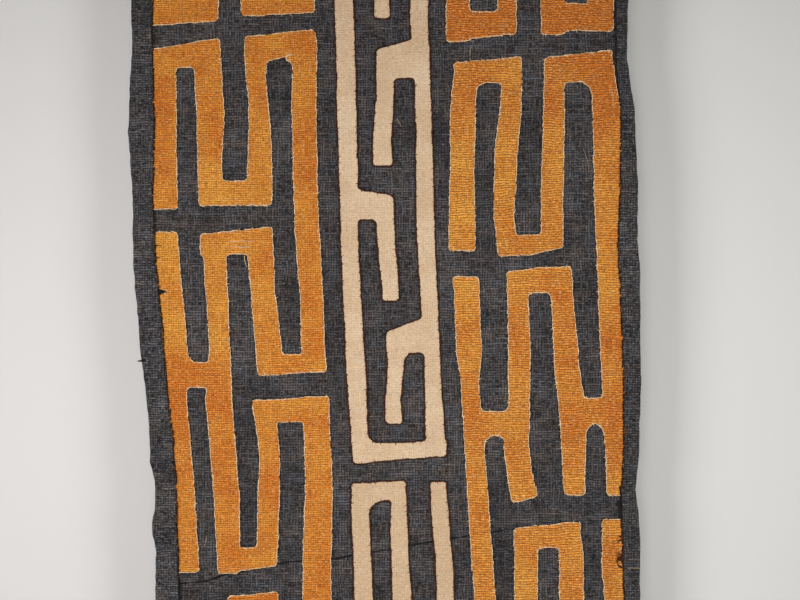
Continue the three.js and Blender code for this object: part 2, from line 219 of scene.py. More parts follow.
# Dye patches: middle x, middle d, half width, half height, depth of the dye, softness of the border.
ORANGE_DYE: Rows = (
    (163, 120, 15, 44, 0.28, 16), (208, 95, 15, 58, 0.30, 4), (209, 190, 15, 34, -0.25, 5),
    (304, 110, 16, 80, 0.20, 12), (262, 190, 25, 30, -0.15, 10), (307, 290, 16, 70, 0.15, 20),
    (216, 270, 18, 82, -0.18, 10), (168, 285, 15, 62, -0.30, 6), (182, 440, 20, 80, 0.30, 14),
    (222, 430, 16, 60, 0.25, 10), (228, 540, 18, 60, 0.25, 10), (253, 605, 28, 20, 0.40, 8),
    (268, 480, 15, 80, 0.20, 14), (318, 520, 17, 110, 0.15, 20), (185, 550, 15, 30, 0.15, 6),
    (195, -10, 50, 45, 0.08, 14), (280, -10, 50, 45, 0.08, 14),
    (480, 0, 45, 60, 0.70, 10), (580, 0, 50, 60, 0.60, 10),
    (578, 90, 45, 36, 0.35, 12), (465, 95, 15, 30, 0.25, 10), (462, 200, 15, 60, -0.25, 16),
    (506, 200, 14, 60, -0.05, 16), (552, 190, 14, 60, 0.10, 16), (609, 200, 16, 40, 0.05, 10),
    (612, 400, 16, 70, 0.25, 14), (468, 380, 14, 40, 0.15, 12), (570, 380, 15, 90, 0.35, 12),
    (519, 340, 14, 50, 0.12, 12), (482, 560, 14, 50, 0.05, 12), (548, 570, 36, 50, -0.10, 12),
)
CREAM_DYE: Rows = (
    (344, -10, 14, 80, 0.45, 40), (389, 50, 25, 50, 0.30, 30), (419, 0, 12, 60, 0.15, 30),
    (436, 430, 10, 18, 0.25, 8), (402, 341, 18, 8, -0.25, 6), (400, 600, 70, 130, 0.50, 10),
)
GROUND_DYE: Rows = (
    (502, 550, 14, 70, 0.45, 10), (244, 470, 10, 90, 0.30, 8), (191, 285, 12, 60, -0.20, 10),
    (407, 250, 14, 60, -0.20, 10), (449, 350, 8, 60, 0.15, 8), (530, 145, 12, 60, 0.12, 10),
)
STRIP_DYE: Rows = (
    (166, 560, 16, 75, -0.50, 25), (143, 245, 16, 60, -0.20, 25), (632, 350, 16, 70, 0.32, 25),
    (622, 40, 14, 60, 0.25, 25), (630, 520, 14, 90, 0.15, 25),
)

# Hem behind the ground: its height to the front in millimetres, and its rows of points.
HEM_BACK = -1.5
HEM_ROWS = 7

# Turned edges of the ground. Each row is a distance from the edge's line, and a height to the front.
HEM_TURN: Rows = ((0.35, -1.4), (0.0, -1.1), (0.0, -0.4), (0.35, -0.1), (1.2, 0.0))
UPPER_EDGE: Rows = (
    (-8.5, 0.0), (-6.0, 0.12), (-4.0, 0.22), (-2.2, 0.22), (-0.9, 0.05), (-0.2, -0.25),
    (0.0, -0.65), (-0.3, -1.0), (-1.4, -1.2), (-4.0, -1.25), (-8.0, -1.25),
)
LOWER_EDGE: Rows = (
    (-9.0, -2.5), (-5.0, -2.5), (-1.0, -2.35), (0.8, -1.9), (1.8, -1.2),
    (3.2, -0.6), (5.0, -0.25), (8.0, -0.05), (12.0, 0.0), (16.0, 0.0),
)

# Section of a side strip: share of its width from the inner edge, height of its front and of its back.
STRIP_SECTION: Rows = (
    (0, 2.9, 2.6), (0.01, 3.4, 2.42), (0.04, 3.75, 2.36), (0.09, 3.85, 2.36), (0.16, 3.75, 2.36),
    (0.26, 3.6, 2.3), (0.38, 3.5, 2.2), (0.5, 3.4, 2.05), (0.62, 3.3, 1.95), (0.74, 3.25, 1.9),
    (0.84, 3.3, 1.85), (0.92, 3.35, 1.8), (0.97, 3.2, 1.8), (0.99, 2.9, 1.9), (1.0, 2.6, 2.1),
)

# How strongly the dye and the weave show in every raffia finish, and the colour of the painted contact
# shadow round the sewn-on pieces.
CLOUD_DEPTH = 0.55
STREAK_DEPTH = 0.25
WORN_SHARE = 0.16
TONE_GAIN = 2.2
GRAIN_GAIN = 4
DARKEST_TONE = 0.15
DARK_FLECKS = 0.7
CONTACT_SHADOW: Colour = (22, 14, 13)


def linear(red: int, green: int, blue: int) -> tuple[float, float, float, float]:
    """Turns an ordinary 0 to 255 colour into the linear one that shaders take.

    Args:
        red: Red part.
        green: Green part.
        blue: Blue part.

    Returns:
        The linear colour with full alpha.
    """
    parts = [c / 255 for c in (red, green, blue)]
    flat = [c / 12.92 if c <= 0.04045 else ((c + 0.055) / 1.055) ** 2.4 for c in parts]
    return (flat[0], flat[1], flat[2], 1.0)


def cloth_noise(x: np.ndarray, d: np.ndarray, size: float, seed: int) -> np.ndarray:
    """Smooth noise: random numbers on a square lattice, blended by 3t^2 - 2t^3 between its knots.

    Args:
        x: Places across, in millimetres.
        d: Places down, in millimetres.
        size: Width of a lattice square, in millimetres.
        seed: Number that fixes the draw.

    Returns:
        A value from -1 to 1 for each place.
    """
    knots = np.random.default_rng(seed).uniform(-1, 1, (64, 64))
    u, v = x / size, d / size
    i, j = np.floor(u).astype(int), np.floor(v).astype(int)
    s, t = u - i, v - j
    s, t = s * s * (3 - 2 * s), t * t * (3 - 2 * t)
    near = knots[j % 64, i % 64] * (1 - s) + knots[j % 64, (i + 1) % 64] * s
    far = knots[(j + 1) % 64, i % 64] * (1 - s) + knots[(j + 1) % 64, (i + 1) % 64] * s
    return near * (1 - t) + far * t


def patches(x: np.ndarray, d: np.ndarray, rows: Rows) -> np.ndarray:
    """Soft-edged dye patches added up, with a wavering border.

    Each is its depth times 1 / (1 + e^(4 (|x - middle| - half width) / softness)), and the same along d.

    Args:
        x: Places across, in millimetres.
        d: Places down, in millimetres.
        rows: The patches.

    Returns:
        The depth that they add at each place.
    """
    wave_x = x + 5 * cloth_noise(x, d, 11, 71)
    wave_d = d + 5 * cloth_noise(x, d, 12, 72)
    total = np.zeros_like(x)
    for middle, depth, half_x, half_d, amount, soft in rows:
        side = 1 / (1 + np.exp((np.abs(wave_x - middle) - half_x) * 4 / soft))
        end = 1 / (1 + np.exp((np.abs(wave_d - depth) - half_d) * 4 / soft))
        total = total + amount * side * end
    return total


def slack(x: np.ndarray, d: np.ndarray) -> np.ndarray:
    """Slack of the hanging cloth: each roll is a bell across x, times a squared sine down d.

    Args:
        x: Places across, in millimetres.
        d: Places down, in millimetres.

    Returns:
        Distance to the front of the hanging plane, in millimetres.
    """
    total = np.zeros(np.broadcast(x, d).shape)
    for middle, width, rise, start, end in ROLLS:
        along = np.clip((d - start) / (end - start), 0, 1)
        total = total + rise * np.exp(-(((x - middle) / width) ** 2)) * np.sin(np.pi * along) ** 2
    return total


def hang(x: np.ndarray, d: np.ndarray, front: np.ndarray | float) -> np.ndarray:
    """Puts places of the flat cloth on the hanging cloth, with its slack and small puckers.

    Args:
        x: Places across, in millimetres.
        d: Places down, in millimetres.
        front: Distance to the front of the cloth's middle plane, in millimetres.

    Returns:
        Points in metres, one row each.
    """
    pucker = 0.30 * cloth_noise(x, d, 31, 5) + 0.16 * cloth_noise(x, d, 13, 6)
    fade = np.clip((d - TOP) / 20, 0, 1) * np.clip((BOTTOM - d) / 20, 0, 1)
    y = -(slack(x, d) + pucker * fade + front)
    return np.stack([x - X_DATUM, y, -(d + D_DATUM)], axis=-1) * MM


@dataclass
class Shape:
    """Points, faces and per-point marks of one mesh, kept as whole arrays.

    Attributes:
        points: Point places in metres, one row each.
        faces: Face arrays, each with its own number of corners.
        marks: Named values, one for each point.
    """

    points: np.ndarray
    faces: list[np.ndarray]
    marks: dict[str, np.ndarray] = field(default_factory=dict)

    def make(self, name: str, material: bpy.types.Material) -> bpy.types.Object:
        """Makes the mesh object at the origin.

        Args:
            name: Name of the piece.
            material: Its finish.

        Returns:
            The new object.
        """
        mesh = bpy.data.meshes.new(name)
        faces = [f for f in self.faces if len(f)]
        sizes = np.concatenate([np.full(len(f), f.shape[1]) for f in faces])
        corners = np.concatenate([f.reshape(-1) for f in faces])
        mesh.vertices.add(len(self.points))
        mesh.vertices.foreach_set("co", self.points.astype(np.float32).reshape(-1))
        mesh.loops.add(len(corners))
        mesh.loops.foreach_set("vertex_index", corners.astype(np.int32))
        mesh.polygons.add(len(sizes))
        starts = np.concatenate([[0], np.cumsum(sizes)[:-1]])
        mesh.polygons.foreach_set("loop_start", starts.astype(np.int32))
        mesh.polygons.foreach_set("use_smooth", np.ones(len(sizes), dtype=bool))
        mesh.update(calc_edges=True)
        for key, values in self.marks.items():
            mark = mesh.attributes.new(key, "FLOAT", "POINT")
            mark.data.foreach_set("value", values.astype(np.float32))
        mesh.validate()
        mesh.materials.append(material)
        piece = bpy.data.objects.new(name, mesh)
        bpy.context.scene.collection.objects.link(piece)
        return piece


def grid_faces(rows: int, columns: int) -> np.ndarray:
    """Quads of a grid of points, turned so that they face the front where d grows with the row.

    Args:
        rows: Rows of points.
        columns: Points in a row.

    Returns:
        The quads, one row each.
    """
    at = np.arange(rows * columns).reshape(rows, columns)
    quads = [at[:-1, :-1], at[1:, :-1], at[1:, 1:], at[:-1, 1:]]
    return np.stack([q.reshape(-1) for q in quads], axis=1)


def threads(paths: np.ndarray, radius: np.ndarray, sides: int = 5) -> Shape:
    """Round threads: a ring of points carried along each path, closed by a face at both ends.

    Args:
        paths: Points of the paths in metres, as thread, place along it, and x y z.
        radius: Radius in metres for each thread and place.
        sides: Points in a ring.

    Returns:
        All threads as one shape, with a mark that tells the threads apart.
    """
    count, steps = paths.shape[:2]
    along = np.gradient(paths, axis=1)
    along /= np.maximum(np.linalg.norm(along, axis=2, keepdims=True), 1e-9)
    up = np.broadcast_to(np.array([0.02, -1.0, 0.01]), along.shape)
    side = np.cross(along, up)
    side /= np.maximum(np.linalg.norm(side, axis=2, keepdims=True), 1e-9)
    up = np.cross(side, along)
    turn = np.arange(sides) * 2 * np.pi / sides
    ring = side[:, :, None] * np.cos(turn)[:, None] + up[:, :, None] * np.sin(turn)[:, None]
    points = (paths[:, :, None] + ring * radius[:, :, None, None]).reshape(-1, 3)
    at = np.arange(count * steps * sides).reshape(count, steps, sides)
    turned = np.roll(at, -1, axis=2)
    walls = [at[:, :-1], turned[:, :-1], turned[:, 1:], at[:, 1:]]
    quads = np.stack([w.reshape(-1) for w in walls], axis=1)
    tone = np.repeat(np.random.default_rng(count).uniform(0, 1, count), steps * sides)
    return Shape(points, [quads, at[:, 0, ::-1], at[:, -1]], {"tone": tone})


def stroke_distance(stroke: Rows, x: np.ndarray, d: np.ndarray) -> np.ndarray:
    """Signed distance to one stroke: a rounded box whose middle line and width follow its rows.

    Args:
        stroke: The stroke's rows.
        x: Places across, in millimetres.
        d: Places down, in millimetres.

    Returns:
        Distance in millimetres, below zero inside.
    """
    rows = np.array(stroke, dtype=float)
    upright = abs(rows[-1, 1] - rows[0, 1]) > abs(rows[-1, 0] - rows[0, 0])
    run, side = (rows[:, 1], rows[:, 0]) if upright else (rows[:, 0], rows[:, 1])
    t, s = (d, x) if upright else (x, d)
    half = np.interp(t, run, rows[:, 2]) / 2
    a = np.abs(s - np.interp(t, run, side)) - half + CORNER
    b = np.maximum(run[0] - t, t - run[-1]) + CORNER
    return np.hypot(np.maximum(a, 0), np.maximum(b, 0)) + np.minimum(np.maximum(a, b), 0) - CORNER


def stretched(values: np.ndarray, xs: np.ndarray, ds: np.ndarray, p: np.ndarray) -> np.ndarray:
    """Reads a grid of values between its knots, by blending the four round each place.

    Args:
        values: The grid, rows down and columns across.
        xs: Places of the columns.
        ds: Places of the rows.
        p: Places to read, one row of x and d each.

    Returns:
        A value for each place.
    """
    u = np.clip((p[:, 0] - xs[0]) / (xs[1] - xs[0]), 0, len(xs) - 1.001)
    v = np.clip((p[:, 1] - ds[0]) / (ds[1] - ds[0]), 0, len(ds) - 1.001)
    j, i = u.astype(int), v.astype(int)
    s, t = u - j, v - i
    near = values[i, j] * (1 - s) + values[i, j + 1] * s
    far = values[i + 1, j] * (1 - s) + values[i + 1, j + 1] * s
    return near * (1 - t) + far * t


def crossing(near: np.ndarray, far: np.ndarray) -> np.ndarray:
    """Share near / (near - far) of a grid side where its level passes zero, kept off both knots."""
    return np.clip(near / np.where(near == far, 1, near - far), 0.12, 0.88)


def ring_wall(edges: np.ndarray, last: np.ndarray, now: np.ndarray) -> np.ndarray:
    """Quads between one ring of rim points and the next, one for each rim edge.

    Args:
        edges: Rim edges, as places in the rings.
        last: Point numbers of the inner ring.
        now: Point numbers of the outer ring.

    Returns:
        The quads, one row each.
    """
    start, end = edges.T
    return np.stack([last[end], last[start], now[start], now[end]], axis=1)


def cut_faces(inside: np.ndarray) -> np.ndarray:
    """Triangles that fill the inside of an outline on a grid, square by square.

    A square's corners are points 0 to 3 and the middles of its sides points 4 to 7. Going round it,
    each inside corner and each crossed side is kept, and the polygon that they make is fanned.

    Args:
        inside: For each knot of the grid, whether it lies inside.

    Returns:
        Triangles facing the front, as numbers of knots, then crossed rows, then crossed columns.
    """
    rows, columns = inside.shape
    knots = np.arange(rows * columns).reshape(rows, columns)
    across = rows * columns + np.arange(rows * (columns - 1)).reshape(rows, columns - 1)
    down = across[-1, -1] + 1 + np.arange((rows - 1) * columns).reshape(rows - 1, columns)
    corners = [knots[:-1, :-1], knots[:-1, 1:], knots[1:, 1:], knots[1:, :-1]]
    sides = [across[:-1], down[:, 1:], across[1:], down[:, :-1]]
    points = np.stack(corners + sides, axis=-1).reshape(-1, 8)
    held = np.stack([inside[:-1, :-1], inside[:-1, 1:], inside[1:, 1:], inside[1:, :-1]], axis=-1)
    case = held.reshape(-1, 4) @ np.array([1, 2, 4, 8])
    found = []
    for kind in range(1, 16):
        bits = [kind >> n & 1 for n in range(4)]
        ring = []
        for n in range(4):
            if bits[n]:
                ring.append(n)
            if bits[n] != bits[(n + 1) % 4]:
                ring.append(4 + n)
        picked = points[case == kind]
        for n in range(1, len(ring) - 1):
            found.append(picked[:, [ring[0], ring[n + 1], ring[n]]])
    return np.concatenate(found)


def rim_edges(faces: np.ndarray) -> np.ndarray:
    """Finds the edges that only one triangle uses, in that triangle's direction.

    Args:
        faces: Triangles.

    Returns:
        Edges as start and end point, one row each.
    """
    edges = np.concatenate([faces[:, [0, 1]], faces[:, [1, 2]], faces[:, [2, 0]]])
    key = np.sort(edges, axis=1) @ np.array([int(faces.max()) + 1, 1])
    _, first, count = np.unique(key, return_index=True, return_counts=True)
    return edges[first[count == 1]]


def loops_of(edges: np.ndarray, places: np.ndarray) -> list[np.ndarray]:
    """Sorts the rim's points into closed loops, by letting every point look twice as far each turn.

    Args:
        edges: Directed rim edges.
        places: Place of each point, as x and d.

    Returns:
        For each loop, its points in order.
    """
    points = np.unique(edges[:, 0])
    step = np.searchsorted(points, edges[np.argsort(edges[:, 0]), 1])
    lowest = np.arange(len(points))
    jump = step.copy()
    turns = int(math.log2(len(points))) + 2
    for _ in range(turns):
        lowest = np.minimum(lowest, lowest[jump])
        jump = jump[jump]
    ends = step == lowest
    togo = np.where(ends, 0, 1)
    jump = np.where(ends, np.arange(len(points)), step)
    for _ in range(turns):
        togo = togo + togo[jump]
        jump = jump[jump]
    order = np.lexsort((-togo, lowest))
    splits = np.flatnonzero(np.diff(lowest[order])) + 1
    return [points[part] for part in np.split(order, splits)]


def evenly(line: np.ndarray, pitch: float, closed: bool = True) -> np.ndarray:
    """Sets places at even distances along a line.

    Args:
        line: Places of the line, as x and d.
        pitch: Wanted distance, in millimetres.
        closed: Whether the line returns to its start.

    Returns:
        The new places, one row each.
    """
    full = np.concatenate([line, line[:1]]) if closed else line
    run = np.concatenate([[0], np.cumsum(np.linalg.norm(np.diff(full, axis=0), axis=1))])
    at = np.linspace(0, run[-1], max(int(round(run[-1] / pitch)), 3), endpoint=not closed)
    return np.stack([np.interp(at, run, full[:, 0]), np.interp(at, run, full[:, 1])], axis=1)


class Board:
    """Lays out shader nodes in a material or a group."""

    def __init__(self, tree: bpy.types.NodeTree) -> None:
        """Takes the tree that the nodes go into."""
        self.tree = tree

    def node(self, kind: str, sockets: dict | None = None, **settings: object) -> bpy.types.Node:
        """Adds one node.

        Args:
            kind: Blender's name of the node type.
            sockets: Values or links for its inputs, by name or number.
            settings: Its own settings.

        Returns:
            The node.
        """
        made = self.tree.nodes.new(kind)
        for key, value in settings.items():
            setattr(made, key, value)
        for key, value in (sockets or {}).items():
            if isinstance(value, Socket):
                self.tree.links.new(value, made.inputs[key])
            else:
                made.inputs[key].default_value = value
        return made

    def sum(self, operation: str, *values: object) -> Socket:
        """Works out one number from others with a Math node.

        Args:
            operation: Name of the operation.
            values: Numbers or links.

        Returns:
            The result's socket.
        """
        sockets = dict(enumerate(values))
        return self.node("ShaderNodeMath", sockets, operation=operation).outputs[0]

    def ramp(self, value: object, low: float, high: float) -> Socket:
        """Stretches a value from low and high to 0 and 1, with smooth ends.

        Args:
            value: The value's socket.
            low: Value that becomes 0.
            high: Value that becomes 1.

        Returns:
            The result's socket.
        """
        sockets = {"Value": value, "From Min": low, "From Max": high}
        made = self.node("ShaderNodeMapRange", sockets, interpolation_type="SMOOTHSTEP")
        return made.outputs[0]

    def blend(self, amount: object, first: object, second: object, how: str = "MIX") -> Socket:
        """Blends two colours.

        Args:
            amount: Share of the second colour.
            first: First colour or link.
            second: Second colour or link.
            how: Blend type.

        Returns:
            The blended colour's socket.
        """
        sockets = {0: amount, 6: first, 7: second}
        return self.node("ShaderNodeMix", sockets, data_type="RGBA", blend_type=how).outputs[2]

    def noise(self, vector: object, scale: float, detail: float = 2.0) -> Socket:
        """Adds smooth noise on a vector."""
        sockets = {"Vector": vector, "Scale": scale, "Detail": detail, "Roughness": 0.6}
        return self.node("ShaderNodeTexNoise", sockets).outputs[0]

    def mark(self, name: str) -> Socket:
        """Reads a mark of the piece's own mesh."""
        made = self.node("ShaderNodeAttribute", attribute_type="GEOMETRY", attribute_name=name)
        return made.outputs["Fac"]

    def moved(self, vector: object, seed: object) -> tuple[Socket, Socket, Socket]:
        """Reads a place's x and z, and lays them in a slice of the noise that the seed picks.

        Args:
            vector: The place.
            seed: The slice.

        Returns:
            The sockets of x, z and the moved place.
        """
        split = self.node("ShaderNodeSeparateXYZ", {0: vector})
        x, z = split.outputs["X"], split.outputs["Z"]
        return x, z, self.node("ShaderNodeCombineXYZ", {0: x, 1: seed, 2: z}).outputs[0]

    def scaled(self, vector: object, scale: Place) -> Socket:
        """Multiplies a vector by a scale of its own along each axis."""
        return self.node("ShaderNodeVectorMath", {0: vector, 1: scale}, operation="MULTIPLY").outputs[0]


class SharedGroup:
    """A shader node group with named inputs and outputs, built once and placed in each material.

    Attributes:
        tree: The group's nodes.
        board: Lays them out.
        take: The group's inputs, by name.
    """

    def __init__(self, name: str, takes: tuple[str, ...]) -> None:
        """Starts the group with a Vector input and number inputs.

        Args:
            name: Name of the group.
            takes: Names of the number inputs.
        """
        self.tree = bpy.data.node_groups.new(name, "ShaderNodeTree")
        self.board = Board(self.tree)
        self.tree.interface.new_socket(name="Vector", in_out="INPUT", socket_type="NodeSocketVector")
        for key in takes:
            self.tree.interface.new_socket(name=key, in_out="INPUT", socket_type="NodeSocketFloat")
        self.take = self.board.node("NodeGroupInput").outputs

    def give(self, **values: Socket) -> None:
        """Names the group's outputs, each a number, and links them."""
        for key in values:
            self.tree.interface.new_socket(name=key, in_out="OUTPUT", socket_type="NodeSocketFloat")
        out = self.board.node("NodeGroupOutput")
        for key, value in values.items():
            self.tree.links.new(value, out.inputs[key])

    def on(self, board: Board, vector: object, **sizes: float) -> bpy.types.NodeOutputs:
        """Places the group in a material.

        Args:
            board: The material's board.
            vector: Where the pattern lies.
            sizes: The group's other inputs, by name.

        Returns:
            The outputs of the placed group.
        """
        sockets = {"Vector": vector} | sizes
        return board.node("ShaderNodeGroup", sockets, node_tree=self.tree).outputs


class PlainWeave(SharedGroup):
    """Hand-woven raffia: threads across and threads down that pass over and under each other.

    Attributes:
        drift_scale: Scale of the noise that bends the threads across.
        sway_scale: Scale of the noise that bends the threads down.
        break_scale: Scale of the noise that breaks up the gaps.
        grain_scale: Scale of the fibres' noise along each axis.
        tone_scale: How fast a thread's tone changes along it.
        thread_step: How far apart two neighbouring threads read their tone.
    """

    drift_scale: float = 20
    sway_scale: float = 48
    break_scale: float = 260
    grain_scale: Place = (300, 390, 740)
    tone_scale: float = 75
    thread_step: float = 7.31

    def __init__(self) -> None:
        """Builds the group: its height, the pale lines of single threads, the gaps and the grain."""
        super().__init__("plain_weave", ("Row", "Column", "Wander", "Rib", "Seed"))
        board, take = self.board, self.take
        x, z, moved = board.moved(take["Vector"], take["Seed"])
        drift = board.sum("SUBTRACT", board.noise(moved, self.drift_scale, 3), 0.5)
        sway = board.sum("SUBTRACT", board.noise(moved, self.sway_scale, 2), 0.5)
        v = self.line(z, take["Row"], drift)
        u = self.line(x, take["Column"], sway)
        across, down = self.wave(v), self.wave(u)
        cells = board.sum("POWER", board.sum("MULTIPLY", down, across), 0.6)
        ribs = board.sum("POWER", across, 0.7)
        height = board.node("ShaderNodeMix", {0: take["Rib"], 2: cells, 3: ribs}).outputs[0]
        plain = board.sum("SUBTRACT", 1.0, take["Rib"])
        rows = board.sum("MULTIPLY", board.sum("POWER", across, 1.4), self.tone(x, v, 0))
        columns = board.sum("MULTIPLY", board.sum("POWER", down, 1.4), self.tone(z, u, 9))
        share = board.sum("MULTIPLY_ADD", plain, 0.8, 0.2)
        tone = board.sum("MAXIMUM", rows, board.sum("MULTIPLY", columns, share))
        broken = board.ramp(board.noise(moved, self.break_scale, 2), 0.38, 0.58)
        row_gap = board.sum("MULTIPLY", board.ramp(across, 0.72, 0.05), broken)
        shifted = self.wave(board.sum("MULTIPLY_ADD", board.sum("FLOOR", v), 0.5, u))
        crossed = board.sum("MULTIPLY", board.ramp(shifted, 0.6, 0.05), board.ramp(across, 1.0, 0.3))
        column_gap = board.sum("MULTIPLY", board.ramp(down, 0.55, 0.05), plain)
        gap = board.sum("MAXIMUM", board.sum("MAXIMUM", row_gap, crossed), column_gap)
        grain = board.noise(board.scaled(moved, self.grain_scale), 1.0, 1)
        self.give(Height=height, Tone=tone, Gap=gap, Grain=grain)

    def line(self, along: Socket, pitch: Socket, drift: Socket) -> Socket:
        """Counts threads: the place divided by the pitch, plus a drift."""
        count = self.board.sum("DIVIDE", along, pitch)
        return self.board.sum("MULTIPLY_ADD", drift, self.take["Wander"], count)

    def wave(self, count: Socket) -> Socket:
        """Turns a count of threads into |sin(pi count)|: 1 on a thread's middle, 0 between two."""
        return self.board.sum("ABSOLUTE", self.board.sum("SINE", self.board.sum("MULTIPLY", count, math.pi)))

    def tone(self, along: Socket, count: Socket, turn: float) -> Socket:
        """Gives every thread its own tone, which changes slowly along it.

        Args:
            along: Place along the thread.
            count: Count of threads.
            turn: Keeps the threads across apart from the threads down.

        Returns:
            The tone's socket, from 0 to 1.
        """
        number = self.board.sum("MULTIPLY_ADD", self.board.sum("FLOOR", count), self.thread_step, turn)
        far = self.board.sum("MULTIPLY", along, self.tone_scale)
        line = self.board.node("ShaderNodeCombineXYZ", {0: far, 1: number, 2: self.take["Seed"]})
        return self.board.ramp(self.board.noise(line.outputs[0], 1.0, 2), 0.36, 0.66)


class UnevenDye(SharedGroup):
    """Uneven dye: broad clouds, thread-long streaks, and faded and worn spots.

    Attributes:
        cloud_scale: Scale of the clouds' noise.
        wear_scale: Scale of the worn spots' noise.
        streak_scale: Scale of the streaks' noise along each axis.
    """

    cloud_scale: float = 26
    wear_scale: float = 130
    streak_scale: Place = (30, 30, 210)

    def __init__(self) -> None:
        """Builds the group: a cloud, a wear and a streak value."""
        super().__init__("uneven_dye", ("Seed",))
        board = self.board
        moved = board.moved(self.take["Vector"], self.take["Seed"])[2]
        cloud = board.ramp(board.noise(moved, self.cloud_scale, 4), 0.32, 0.68)
        wear = board.ramp(board.noise(moved, self.wear_scale, 4), 0.52, 0.72)
        streak = board.ramp(board.noise(board.scaled(moved, self.streak_scale), 1.0, 3), 0.35, 0.68)
        self.give(Cloud=cloud, Wear=wear, Streak=streak)


def new_material(name: str) -> tuple[bpy.types.Material, Board]:
    """Starts an empty material.

    Args:
        name: Name of the finish.

    Returns:
        The material and the board of its nodes.
    """
    made = bpy.data.materials.new(name)
    made.use_nodes = True
    made.node_tree.nodes.clear()
    return made, Board(made.node_tree)


@dataclass(frozen=True)
class RaffiaCloth:
    """Finish of one woven raffia cloth.

    Attributes:
        name: Name of the finish.
        light: Colour of the lightest threads.
        middle: Main colour.
        deep: Colour of the deepest dye.
        edge: Colour of turned edges, partly painted shade on their rim, and of the painted shade in the gaps
            between threads.
        row: Pitch of the threads across, in metres.
        column: Pitch of the threads down, in metres.
        wander: How far the threads leave their lines, in threads.
        rib: How much the threads across stand out, from 0 to 1.
        contrast: Difference between pale and dark threads.
        grain: Difference between neighbouring fibres.
        fleck: Share of pale and dark flecks.
        tint: How far the cloth turns warm and cool in places.
        gap: Darkness of the painted shade in the gaps between threads.
        relief: Height of the weave, in metres.
        roughness: Roughness of the raffia.
        sheen: Weight of its soft sheen.
        seed: Shifts the pattern.
    """

    name: str
    light: Colour
    middle: Colour
    deep: Colour
    edge: Colour
    row: float
    column: float
    wander: float
    rib: float
    contrast: float
    grain: float
    fleck: float
    tint: float
    gap: float
    relief: float
    roughness: float
    sheen: float
    seed: float

    def material(self, weave: PlainWeave, dye: UnevenDye) -> bpy.types.Material:
        """Builds the material.

        Args:
            weave: The shared weave.
            dye: The shared dye.

        Returns:
            The material.
        """
        made, board = new_material(self.name)
        place = board.node("ShaderNodeTexCoord").outputs["Object"]
        light, edge = linear(*self.light), linear(*self.edge)
        sizes = {"Row": self.row, "Column": self.column, "Wander": self.wander}
        cloth = weave.on(board, place, Rib=self.rib, Seed=self.seed, **sizes)
        stain = dye.on(board, place, Seed=self.seed)
        depth = board.sum("MULTIPLY_ADD", stain["Cloud"], CLOUD_DEPTH, board.mark("dye"))
        depth = board.sum("MULTIPLY_ADD", stain["Streak"], STREAK_DEPTH, depth)
        depth = board.node("ShaderNodeClamp", {0: depth}).outputs[0]
        base = board.blend(depth, linear(*self.middle), linear(*self.deep))
        base = board.blend(board.sum("MULTIPLY", stain["Wear"], WORN_SHARE), base, light)
        tone = board.sum("MULTIPLY_ADD", cloth["Tone"], TONE_GAIN * self.contrast, 1 - self.contrast)
        grain = board.sum("SUBTRACT", cloth["Grain"], 0.5)
        tone = board.sum("MULTIPLY_ADD", grain, GRAIN_GAIN * self.grain, tone)
        tone = board.sum("MAXIMUM", tone, DARKEST_TONE)
        lean = board.sum("SUBTRACT", board.noise(place, 55, 5), 0.5)
        warm = board.sum("MULTIPLY", tone, board.sum("MULTIPLY_ADD", lean, self.tint, 1.0))
        cool = board.sum("MULTIPLY", tone, board.sum("MULTIPLY_ADD", lean, -self.tint, 1.0))
        tinted = board.node("ShaderNodeCombineColor", {0: warm, 1: tone, 2: cool}).outputs[0]
        base = board.blend(1.0, base, tinted, "MULTIPLY")
        pale = board.sum("MULTIPLY", board.ramp(cloth["Grain"], 0.50, 0.72), self.fleck)
        base = board.blend(pale, base, light)
        dark = board.sum("MULTIPLY", board.ramp(cloth["Grain"], 0.50, 0.28), DARK_FLECKS * self.fleck)
        base = board.blend(dark, base, edge)
        # Painted shade in the gaps between threads, in the edge colour.
        base = board.blend(board.sum("MULTIPLY", cloth["Gap"], self.gap), base, edge)
        # Painted shade from the edge mark: toward the edge colour on rims and turned edges, and above 1.1
        # toward the painted contact shadow.
        base = board.blend(board.ramp(board.mark("edge"), 0.35, 0.85), base, edge)
        base = board.blend(board.ramp(board.mark("edge"), 1.1, 1.6), base, linear(*CONTACT_SHADOW))
        bump = {"Height": cloth["Height"], "Distance": self.relief, "Strength": 0.8}
        normal = board.node("ShaderNodeBump", bump).outputs[0]
        rough = board.sum("MULTIPLY_ADD", stain["Cloud"], 0.08, self.roughness - 0.04)
        sockets = {"Base Color": base, "Roughness": rough, "Normal": normal}
        sockets |= {"Sheen Weight": self.sheen, "Sheen Roughness": 0.5, "IOR": 1.45}
        skin = board.node("ShaderNodeBsdfPrincipled", sockets | {"Specular IOR Level": 0.25})
        board.node("ShaderNodeOutputMaterial", {"Surface": skin.outputs[0]})
        return made


